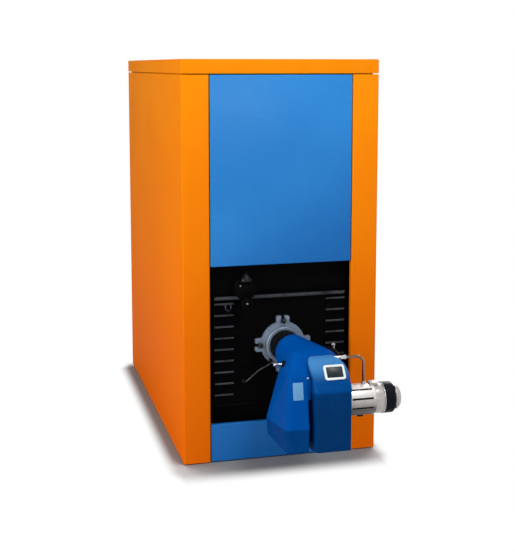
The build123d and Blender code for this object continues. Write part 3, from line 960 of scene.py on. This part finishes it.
@dataclass(frozen=True)
class Turning:
    """A small round piece: its profile and how finely it is made."""

    name: str
    radius: float
    profile: Profile
    sides: int = 32
    degrees: float = 40.0

    def fitted(self, place: Vector, facing: Vector) -> Piece:
        """Turn the piece and set its foot on a place, with its axis along a direction."""
        piece = Bench.turned(self.name, self.profile, self.radius, self.sides)
        return Bench.smooth(Bench.placed(piece, place, facing), self.degrees)


@dataclass
class Fasteners:
    """Screws, bolts and washers, each modelled once for every place that needs it."""

    washer_share: float = 1.75
    washer_thickness: float = 1.6 * MM
    washer_profile: Profile = ((1.0, 0.0), (1.0, 0.75), (0.94, 1.0))
    washer_sides: int = 28
    hexagon: int = 6
    hexagon_half: float = 1.5
    head_start: float = 0.9
    head_side: float = 1.1
    head_height: float = 1.3
    head_crown: float = 0.86
    pan_profile: Profile = ((1.0, 0.0), (1.0, 0.35), (0.88, 0.58), (0.62, 0.70), (0.34, 0.72),
                            (0.28, 0.35))
    pan_sides: int = 12

    def hex_bolt(self, name: str, radius: float) -> Piece:
        """Hexagon bolt head on a washer.

        Args:
            name: name of the piece.
            radius: radius of the bolt's shank in metres.

        Returns:
            The bolt, standing on the origin.
        """
        across = self.hexagon_half * radius / math.cos(math.pi / self.hexagon)
        washer_top = self.washer_thickness
        head = Bench.turned(name, ((1.0, washer_top * self.head_start),
                                   (1.0, washer_top + radius * self.head_side),
                                   (self.head_crown, washer_top + radius * self.head_height)),
                            across, self.hexagon, 1.0)
        washer = Bench.turned("washer", self.washer_profile, radius * self.washer_share,
                              self.washer_sides, washer_top)
        return Bench.smooth(Bench.joined([head, washer]))

    def pan_screw(self, name: str, radius: float) -> Piece:
        """Pan-head screw with a socket in its crown; the radius is the head's."""
        return Bench.smooth(Bench.turned(name, self.pan_profile, radius, self.pan_sides, radius))


@dataclass(frozen=True)
class Lamp:
    """One soft square lamp: where it hangs, the point that it faces, its side and its watts."""

    name: str
    place: Sequence[float]
    aim: Sequence[float]
    size: float
    power: float

    def hang(self) -> None:
        """Hang the lamp and turn it to its aim."""
        data = bpy.data.lights.new(self.name, "AREA")
        data.size = self.size
        data.energy = self.power
        lamp = bpy.data.objects.new(self.name, data)
        lamp.location = self.place
        way = Vector(self.aim) - Vector(self.place)
        lamp.rotation_euler = way.to_track_quat("-Z", "Y").to_euler()
        bpy.context.scene.collection.objects.link(lamp)


@dataclass
class Studio:
    """Pale floor, soft light and the photograph's camera."""

    image_height: int = 552
    camera_place: Sequence[float] = (-1.0543, -4.4060, 1.4755)
    camera_yaw: float = 14.532
    camera_pitch: float = 7.056
    camera_reach: float = 200.0
    focal_pixels: float = 1052.0
    axis_rise_pixels: float = 80.0
    sensor: float = 36.0
    floor_size: float = 60.0
    floor_half: Sequence[float] = (0.375, 0.70)
    floor_shift: Sequence[float] = (-0.020, -0.075)
    floor_fade: Sequence[float] = (0.06, 0.13)
    floor_white: float = 0.92
    floor_painted_shade: float = 0.24
    corner_reach: float = 0.60
    corner_range: Sequence[float] = (0.48, 1.0)
    floor_bounce: float = 0.70
    sky_low: float = 0.16
    sky_high: float = 0.68
    sky_range: Sequence[float] = (-0.1, 1.0)
    lamps: Sequence[Lamp] = (
        Lamp("key_lamp", (-3.5, -2.4, 1.9), (0.0, -0.5, 0.6), size=1.8, power=92.0),
        Lamp("top_lamp", (0.45, -2.1, 2.8), (0.08, -1.05, 0.38), size=0.45, power=26.0),
        Lamp("sheen_lamp", (0.5, -4.6, 1.5), (-0.1, -0.7, 1.0), size=0.5, power=8.0),
        Lamp("back_lamp", (2.4, 2.8, 2.6), (0.0, 0.4, 0.7), size=2.0, power=110.0))

    def camera(self) -> None:
        """Set the camera to the photograph's viewing angle."""
        data = bpy.data.cameras.new("camera")
        data.sensor_width = self.sensor
        data.lens = self.focal_pixels * self.sensor / self.image_height
        data.shift_y = -self.axis_rise_pixels / self.image_height
        data.clip_end = self.camera_reach
        eye = bpy.data.objects.new("camera", data)
        eye.location = self.camera_place
        eye.rotation_euler = Euler((math.radians(90.0 - self.camera_pitch), 0.0,
                                    math.radians(-self.camera_yaw)))
        bpy.context.scene.collection.objects.link(eye)
        bpy.context.scene.camera = eye

    def floor(self) -> None:
        """Lay a pale floor: shadow and painted shade near the object, white farther off."""
        Bench.clear()
        bpy.ops.mesh.primitive_plane_add(size=self.floor_size)
        floor = Bench.named("studio_floor")
        graph = Graph(bpy.data.materials.new("pale_floor"))
        away = sum((graph.along(axis) - shift).beyond(half) * (1.0 / fade)
                   for axis, shift, half, fade
                   in zip("XY", self.floor_shift, self.floor_half, self.floor_fade))
        # Painted shade: ambient occlusion darkens the floor's colour near the object.
        open_sky = graph.node("ShaderNodeAmbientOcclusion", {}, {"Distance": self.corner_reach})
        painted_light_tone = graph.mix(Value(graph, open_sky.outputs["AO"]).stretched(*self.corner_range),
                         (self.floor_painted_shade,) * 3, (self.floor_white,) * 3)
        matt = graph.node("ShaderNodeBsdfDiffuse", {}, {"Color": painted_light_tone})
        glow = graph.node("ShaderNodeEmission", {}, {"Color": WHITE, "Strength": 1.0})
        shown = graph.node("ShaderNodeMixShader", {}, {
            0: away.stretched(0.0, 1.0), 1: matt.outputs[0], 2: glow.outputs[0]})
        bounce = graph.node("ShaderNodeBsdfDiffuse", {}, {"Color": (self.floor_bounce,) * 3})
        both = graph.node("ShaderNodeMixShader", {}, {
            0: graph.sees_backdrop(), 1: bounce.outputs[0], 2: shown.outputs[0]})
        graph.node("ShaderNodeOutputMaterial", {}, {"Surface": both.outputs[0]})
        floor.data.materials.append(graph.owner)

    def world(self) -> None:
        """Light from a sky that is brighter above, and show it white behind the object."""
        world = bpy.data.worlds.new("studio_world")
        bpy.context.scene.world = world
        graph = Graph(world)
        way = graph.node("ShaderNodeTexCoord").outputs["Generated"]
        rise = Value(graph, graph.node("ShaderNodeSeparateXYZ", {}, {0: way}).outputs["Z"])
        low, high, white = (graph.node("ShaderNodeBackground", {}, {
            "Color": WHITE, "Strength": strength}).outputs[0]
            for strength in (self.sky_low, self.sky_high, 1.0))
        light = graph.node("ShaderNodeMixShader", {}, {
            0: rise.stretched(*self.sky_range), 1: low, 2: high})
        shown = graph.node("ShaderNodeMixShader", {}, {
            0: graph.sees_backdrop(), 1: light.outputs[0], 2: white})
        graph.node("ShaderNodeOutputWorld", {}, {"Surface": shown.outputs[0]})

    def build(self) -> None:
        """Set up the whole studio."""
        bpy.context.scene.view_settings.view_transform = "Standard"
        self.camera()
        self.floor()
        self.world()
        for lamp in self.lamps:
            lamp.hang()


@dataclass
class Casing:
    """Folded sheet casing with its lid, blue front panels and rear panel."""

    sheet_edge: float = 0.6 * MM
    fold_edge: float = 1.2 * MM
    screw_radius: float = 5.0 * MM
    screw_inset: float = 18.0 * MM
    screws_up: int = 5
    screws_across: int = 3

    def rear_screws(self) -> Iterable[Place]:
        """Places of the rear panel's screws, around its edge.

        Returns:
            The foot and direction of each screw.
        """
        low, high = corners("rear_panel")
        left, right = low.x + self.screw_inset, high.x - self.screw_inset
        foot, head = low.z + self.screw_inset, high.z - self.screw_inset
        for step in range(self.screws_up):
            z = foot + (head - foot) * step / (self.screws_up - 1)
            yield Vector((left, high.y, z)), BACK
            yield Vector((right, high.y, z)), BACK
        for step in range(1, self.screws_across + 1):
            x = left + (right - left) * step / (self.screws_across + 1)
            yield Vector((x, high.y, foot)), BACK
            yield Vector((x, high.y, head)), BACK

    def build(self) -> None:
        """Refine the sheets and add the rear panel's screws."""
        refine(Finish.ORANGE, "casing_orange", self.sheet_edge, "left_side_panel",
               "right_side_panel", "rear_panel")
        refine(Finish.ORANGE, "casing_orange", self.fold_edge, "top_cover")
        refine(Finish.PANEL_BLUE, "panel_blue", self.sheet_edge, "upper_front_panel",
               "lower_front_panel")
        screw = Fasteners().pan_screw("rear_panel_screws", self.screw_radius)
        dress(Bench.repeated(screw, self.rear_screws()), Finish.STEEL, "bright_steel")


@dataclass
class Base:
    """Rails, cross bars and the closed block inside the casing."""

    edge: float = 1.5 * MM

    def build(self) -> None:
        """Refine the base and the block."""
        refine(Finish.BASE_BLACK, "base_black", self.edge, "base_rail_left", "base_rail_right",
               "base_crossbars")
        refine(Finish.JACKET, "block_jacket", self.edge, "boiler_block")


@dataclass
class Door:
    """Cast front section and ribbed door, with its bolts and eye nut."""

    cast_edge: float = 2.0 * MM
    plate_thickness: float = 14.0 * MM
    bolt_radius: float = 7.0 * MM
    bolt_inset: float = 62.0 * MM
    bolt_drop: float = 62.0 * MM
    eye_radius: float = 13.0 * MM
    eye_wire: float = 3.5 * MM
    eye_shift: Sequence[float] = (-6.0 * MM, -9.0 * MM, 4.0 * MM)
    eye_facing: Sequence[float] = (0.45, -1.0, 0.1)

    def bolts(self) -> list[Place]:
        """Places of the door's four bolts.

        Returns:
            The foot and direction of each bolt, the upper left one last.
        """
        low, high = corners("burner_door")
        face = high.y - self.plate_thickness
        left, right = low.x + self.bolt_inset, high.x - self.bolt_inset
        foot, head = low.z + self.bolt_drop, high.z - self.bolt_drop
        return [(Vector((x, face, z)), FRONT)
                for x, z in ((left, foot), (right, foot), (right, head), (left, head))]

    def build(self) -> None:
        """Refine the castings and add the fasteners."""
        refine(Finish.DOOR_BLACK, "door_black", self.cast_edge, "front_section")
        refine(Finish.DOOR_BLACK, "door_black", self.cast_edge, "burner_door", segments=3)
        places = self.bolts()
        bolt = Fasteners().hex_bolt("door_bolts", self.bolt_radius)
        dress(Bench.repeated(bolt, places), Finish.PORT_BLACK, "door_black")
        eye = Bench.ring("door_eye_nut", self.eye_radius, self.eye_wire)
        above = places[-1][0] + Vector(self.eye_shift) + UP * self.eye_radius
        Bench.placed(eye, above, Vector(self.eye_facing).normalized())
        dress(eye, Finish.LINE_STEEL, "bright_steel")


@dataclass
class SightPort:
    """Sight port above the door with its dome, pointed cap, latch and screws."""

    edge: float = 1.2 * MM
    dome: Turning = Turning(
        "sight_port_dome", 25.0 * MM, ((1.0, 0.0), (1.0, 2.0), (0.94, 4.0), (0.78, 6.5),
                                       (0.52, 8.5), (0.2, 9.5), (0.05, 9.6)), sides=40)
    cap: Turning = Turning(
        "sight_port_cap", 23.0 * MM, ((0.75, 0.0), (1.0, 4.0), (1.0, 9.0), (0.72, 18.0),
                                      (0.38, 27.0), (0.10, 33.0)), sides=28, degrees=50.0)
    cap_drop: float = 34.0 * MM
    latch: Turning = Turning(
        "sight_port_latch", 20.0 * MM, ((1.0, 0.0), (1.0, 9.0), (0.85, 12.0), (0.5, 13.0)))
    latch_sink: float = 13.0 * MM
    latch_shift: Sequence[float] = (0.004, 0.0, -0.056)
    pin_shift: Sequence[float] = (-0.021, 0.0, 0.012)
    screw_radius: float = 4.0 * MM

    def build(self) -> None:
        """Refine the port and add its dome, cap, latch and screws."""
        refine(Finish.PORT_BLACK, "door_black", self.edge, "sight_port_tube",
               "sight_port_housing", "sight_port_cover")
        housing_front = corners("sight_port_housing")[0].y
        cover_low, cover_high = corners("sight_port_cover")
        middle = centre("sight_port_housing")
        middle.y = cover_low.y
        dress(self.dome.fitted(middle, FRONT), Finish.PORT_BLACK, "door_black")
        foot = Vector((middle.x, (housing_front + cover_low.y) / 2.0,
                       cover_high.z - self.cap_drop))
        dress(self.cap.fitted(foot, UP), Finish.CAP_STEEL, "bright_steel")
        pin, latch = middle + Vector(self.pin_shift), middle + Vector(self.latch_shift)
        dress(self.latch.fitted(latch + BACK * self.latch_sink, FRONT), Finish.PORT_BLACK,
              "door_black")
        screw = Fasteners().pan_screw("sight_port_screws", self.screw_radius)
        dress(Bench.repeated(screw, ((pin, FRONT), (latch, FRONT))), Finish.FLUE_STEEL,
              "bright_steel")


@dataclass
class BurnerMount:
    """Slotted flange, its nuts and the blast tube."""

    cast_edge: float = 1.5 * MM
    steel_edge: float = 0.8 * MM

    def build(self) -> None:
        """Refine flange, nuts and tube."""
        refine(Finish.CAST_GREY, "cast_grey", self.cast_edge, "burner_flange")
        refine(Finish.LINE_STEEL, "bright_steel", self.steel_edge, "flange_nuts")
        refine(Finish.TUBE_BLACK, "tube_black", self.steel_edge, "blast_tube")


@dataclass
class BurnerBody:
    """Cast burner housing with air box, hood, display and small fittings."""

    cell: float = 2.4 * MM
    rounds: int = 24
    waist_low: Sequence[float] = (0.0, -1.000, 0.41)
    waist_high: Sequence[float] = (0.2, -0.840, 0.60)
    brow_low: Sequence[float] = (-0.110, -1.145, 0.405)
    brow_high: Sequence[float] = (-0.019, -0.990, 0.60)
    lobe_low: Sequence[float] = (-0.200, -1.200, 0.230)
    lobe_high: Sequence[float] = (-0.031, -0.918, 0.445)
    bulge: Sequence[float] = (-0.007, 0.004, 0.0)
    bulge_right: float = -0.090
    bulge_top: float = 0.30
    crease_place: Sequence[float] = (0.0, -1.160, 0.266)
    crease_normal: Sequence[float] = (0.0, 0.111, 1.0)
    hood_edge: float = 3.0 * MM
    frame_edge: float = 1.6 * MM
    fine_edge: float = 0.6 * MM
    nipple_edge: float = 0.8 * MM
    plate_size: Sequence[float] = (36.0 * MM, 59.0 * MM, 1.2 * MM)
    plate_corner: float = 3.0 * MM
    plate_edge: float = 0.5 * MM
    plate_sink: float = 0.4 * MM
    plate_place: Sequence[float] = (-0.0665, 0.394)
    screw_radius: float = 4.0 * MM
    screw_places: Sequence[Sequence[float]] = ((-0.030, 0.434),)
    grommet: Turning = Turning(
        "nipple_grommet", 12.0 * MM, ((1.0, -6.0), (1.0, 2.0), (0.9, 5.0), (0.75, 6.5)))
    well_left: float = -1.0
    well_ahead: float = -2.0

    def bulged(self, node: str) -> Piece:
        """Copy a node and bulge the left lobe's lower left side.

        Args:
            node: name of the CAD node.

        Returns:
            The bulged copy.
        """
        piece = Bench.copied(node)
        with Bench.editing(piece):
            Bench.pick(piece, Element.EDGE, lambda line: all(
                end.co.x < self.bulge_right and end.co.z < self.bulge_top
                for end in line.verts))
            bpy.ops.transform.translate(value=self.bulge)
        return piece

    def filled(self, low: Sequence[float], high: Sequence[float]) -> Piece:
        """Fill the housing's hollows inside a box.

        Args:
            low: the box's low corner.
            high: the box's high corner.

        Returns:
            A solid over that part of the housing.
        """
        piece = self.bulged("burner_housing")
        for away in (LEFT, FRONT, -UP):
            Bench.cut(piece, Vector(low), away)
            Bench.cut(piece, Vector(high), -away)
        return Bench.hull(piece)

    def casting(self) -> Piece:
        """Fuse housing and air box into one smooth casting, and part it at the crease.

        Returns:
            The finished housing.
        """
        body = Bench.fused([Bench.copied("burner_housing"), self.bulged("air_box"),
                            self.filled(self.waist_low, self.waist_high),
                            self.filled(self.brow_low, self.brow_high),
                            self.filled(self.lobe_low, self.lobe_high)],
                           self.cell, self.rounds)
        bpy.ops.object.duplicate(linked=False)
        box = Bench.named("air_box_finished")
        crease, up = Vector(self.crease_place), Vector(self.crease_normal)
        # Painted shade: the part below the crease gets a darker copy of the burner's blue.
        dress(Bench.cut(box, crease, up), Finish.BOX_BLUE, "burner_blue", "air_box")
        Bench.cut(body, crease, -up)
        return dress(body, Finish.BURNER_BLUE, "burner_blue", "burner_housing")

    def from_front(self, body: Piece, x: float, z: float) -> Place:
        """Place on the casting that a level line from the front meets."""
        return Bench.seat(body, Vector((x, self.well_ahead, z)), BACK)

    def rating_plate(self, body: Piece) -> None:
        """Lay the bare rating plate on the lobe's front.

        Args:
            body: the finished housing.
        """
        place, normal = self.from_front(body, *self.plate_place)
        plate = Bench.block("rating_plate", self.plate_size, self.plate_corner, self.plate_edge)
        Bench.placed(plate, place - normal * self.plate_sink, Vector((0.0, normal.y, normal.z)))
        dress(Bench.smooth(plate), Finish.BARE_PLATE, "burner_blue")

    def screws(self, body: Piece) -> None:
        """Set the screws where the shoulder meets the lobe.

        Args:
            body: the finished housing.
        """
        screw = Fasteners().pan_screw("burner_screws", self.screw_radius)
        places = [self.from_front(body, x, z) for x, z in self.screw_places]
        dress(Bench.repeated(screw, places), Finish.STEEL, "bright_steel")

    def nipple_seal(self, body: Piece) -> None:
        """Fit the rubber grommet around the test nipple, as deep as the casting beside it.

        Args:
            body: the finished housing.
        """
        place = centre("test_nipple")
        beside = Vector((self.well_left, place.y - self.grommet.radius, place.z))
        place.x = Bench.seat(body, beside, RIGHT)[0].x
        dress(self.grommet.fitted(place, LEFT), Finish.RUBBER, "black_plastic")

    def build(self) -> None:
        """Build the burner's body and its fittings."""
        body = self.casting()
        self.rating_plate(body)
        self.screws(body)
        self.nipple_seal(body)
        refine(Finish.HOOD_BLUE, "burner_blue", self.hood_edge, "burner_hood", segments=3)
        refine(Finish.BLACK_PLASTIC, "black_plastic", self.fine_edge, "intake_grille")
        refine(Finish.WHITE_PLASTIC, "white_plastic", self.frame_edge, "display_frame",
               segments=3)
        refine(Finish.SCREEN, "screen_dark", self.fine_edge, "display_screen")
        refine(Finish.STEEL, "bright_steel", self.nipple_edge, "test_nipple")


@dataclass
class GasInlet:
    """Gas elbow with its flange bolts and test nipple."""

    edge: float = 1.5 * MM
    nipple_edge: float = 0.6 * MM
    bolt_radius: float = 4.0 * MM
    bolt_inset: float = 10.0 * MM
    flange: float = 64.0 * MM
    flange_thickness: float = 14.0 * MM

    def bolts(self) -> Iterable[Place]:
        """Places of the bolts on the inlet flange's upper face.

        Returns:
            The foot and direction of each bolt.
        """
        low, high = corners("gas_inlet")
        top = low.z + self.flange_thickness
        for x in (high.x - self.flange + self.bolt_inset, high.x - self.bolt_inset):
            for y in (low.y + self.bolt_inset, high.y - self.bolt_inset):
                yield Vector((x, y, top)), UP

    def build(self) -> None:
        """Refine the elbow and the nipple, and add the bolts."""
        refine(Finish.PORT_BLACK, "door_black", self.edge, "gas_inlet")
        refine(Finish.FLUE_STEEL, "bright_steel", self.nipple_edge, "inlet_nipple")
        bolt = Fasteners().hex_bolt("gas_inlet_bolts", self.bolt_radius)
        dress(Bench.repeated(bolt, self.bolts()), Finish.STEEL, "bright_steel")


@dataclass
class Motor:
    """Motor with its flange, slotted body, cowl, end cap, small fittings and conduit."""

    edge: float = 1.2 * MM
    slot_edge: float = 0.72 * MM
    cowl_edge: float = 5.0 * MM
    cap_edge: float = 5.0 * MM
    gland_edge: float = 1.0 * MM
    cover_size: Sequence[float] = (30.0 * MM, 34.0 * MM, 9.0 * MM)
    cover_overhang: float = 3.0 * MM
    cover_sink: float = 3.0 * MM
    plug_size: Sequence[float] = (22.0 * MM, 16.0 * MM, 9.0 * MM)
    plug_along: float = 56.0 * MM
    plug_sink: float = 2.0 * MM
    moulding_corner: float = 4.0 * MM
    moulding_edge: float = 1.5 * MM
    bolt_radius: float = 3.2 * MM
    bolt_circle: float = 48.0 * MM
    bolt_from_end: float = 23.0 * MM
    bolt_count: int = 4
    bolt_turn: float = 32.0
    band_radius: float = 53.0 * MM
    band_wire: float = 1.6 * MM

    def tie_bolts(self) -> Iterable[Place]:
        """Places of the tie bolts, evenly around the motor's axis.

        Returns:
            The foot and direction of each bolt.
        """
        middle = centre("motor_body")
        middle.x = corners("motor_end_cap")[1].x - self.bolt_from_end
        for step in range(self.bolt_count):
            angle = math.radians(self.bolt_turn + 360.0 * step / self.bolt_count)
            spoke = Vector((0.0, math.cos(angle), math.sin(angle)))
            yield middle + spoke * self.bolt_circle, RIGHT

    def moulding(self, name: str, size: Sequence[float], place: Vector,
                 facing: Vector) -> Piece:
        """Make a small rounded block and set it on the motor, facing a direction."""
        piece = Bench.block(name, size, self.moulding_corner, self.moulding_edge)
        return Bench.smooth(Bench.placed(piece, place, facing))

    def fittings(self) -> None:
        """Add terminal cover, drain plug, tie bolts and band."""
        low, high = corners("motor_body")
        middle = centre("motor_body")
        crown = Vector((high.x + self.cover_overhang, middle.y, high.z - self.cover_sink))
        dress(self.moulding("motor_terminal_cover", self.cover_size, crown, UP),
              Finish.MOTOR_GREY, "motor_grey")
        sole = Vector((low.x + self.plug_along, middle.y, low.z + self.plug_sink))
        dress(self.moulding("motor_drain_plug", self.plug_size, sole, -UP),
              Finish.BLACK_PLASTIC, "black_plastic")
        bolt = Fasteners().hex_bolt("motor_tie_bolts", self.bolt_radius)
        dress(Bench.repeated(bolt, self.tie_bolts()), Finish.STEEL, "bright_steel")
        band = Bench.ring("motor_shield_band", self.band_radius, self.band_wire)
        middle.x = corners("motor_end_shield")[1].x
        dress(Bench.placed(band, middle, RIGHT), Finish.STEEL, "bright_steel")

    def build(self) -> None:
        """Refine the motor's sections and the conduit, and add the fittings."""
        refine(Finish.MOTOR_BODY, "motor_grey", self.slot_edge, "motor_body")
        refine(Finish.MOTOR_GREY, "motor_grey", self.edge, "motor_flange", "motor_end_shield")
        refine(Finish.BLACK_PLASTIC, "black_plastic", self.cowl_edge, "motor_fan_cowl",
               segments=4)
        refine(Finish.MOTOR_GREY, "motor_grey", self.cap_edge, "motor_end_cap", segments=4)
        self.fittings()
        refine(Finish.CHROME, "bright_steel", 0.0, "motor_conduit")
        refine(Finish.STEEL, "bright_steel", self.gland_edge, "conduit_glands")


@dataclass
class PressureLine:
    """Thin line between burner flange and door, bent a little in its middle."""

    edge: float = 0.8 * MM
    lift: float = 7.0 * MM

    def bent(self) -> Piece:
        """Copy the line and lift its middle.

        Returns:
            The bent copy.
        """
        piece = Bench.copied("pressure_line")
        with Bench.editing(piece):
            bpy.ops.mesh.bisect(plane_co=centre("pressure_line"), plane_no=RIGHT)
            bpy.ops.transform.translate(value=UP * self.lift)
        return Bench.smooth(piece)

    def build(self) -> None:
        """Bend the line and refine its fittings."""
        dress(self.bent(), Finish.LINE_STEEL, "bright_steel", "pressure_line")
        refine(Finish.LINE_STEEL, "bright_steel", self.edge, "line_fittings")


@dataclass
class RearFittings:
    """Flue spigot, water connections and drain on the back."""

    edge: float = 1.2 * MM
    pipe_radius: float = 38.0 * MM
    flue_radius: float = 103.0 * MM
    seal_wire: float = 7.0 * MM
    seal_reach: float = 0.8
    seal_flat: float = 0.45
    seal_stand: float = 2.0 * MM

    def seal(self, name: str, node: str, radius: float) -> None:
        """Lay a rubber seal around a pipe where it leaves the rear panel.

        Args:
            name: name of the seal.
            node: the pipe's CAD node.
            radius: the pipe's radius.
        """
        middle = centre(node)
        middle.y = corners("rear_panel")[1].y + self.seal_stand
        seal = Bench.ring(name, radius + self.seal_wire * self.seal_reach, self.seal_wire,
                          self.seal_flat)
        dress(Bench.placed(seal, middle, BACK), Finish.RUBBER, "black_plastic")

    def build(self) -> None:
        """Refine the connections and add their seals."""
        refine(Finish.FLUE_STEEL, "flue_steel", self.edge, "flue_collar")
        self.seal("flue_seal", "flue_collar", self.flue_radius)
        for node in ("supply_connection", "return_connection"):
            refine(Finish.BASE_BLACK, "base_black", self.edge, node)
            self.seal(f"{node}_seal", node, self.pipe_radius)
        refine(Finish.BRASS, "brass_plain", self.edge, "drain_cock")


def main() -> None:
    """Build the studio and every piece, and report each one."""
    logging.basicConfig(level=logging.INFO, format="%(name)s: %(message)s")
    Studio().build()
    for assembly in (Casing(), Base(), Door(), SightPort(), BurnerMount(), BurnerBody(),
                     GasInlet(), Motor(), PressureLine(), RearFittings()):
        LOG.info("building %s", type(assembly).__name__)
        assembly.build()


if __name__ == "__main__":
    main()
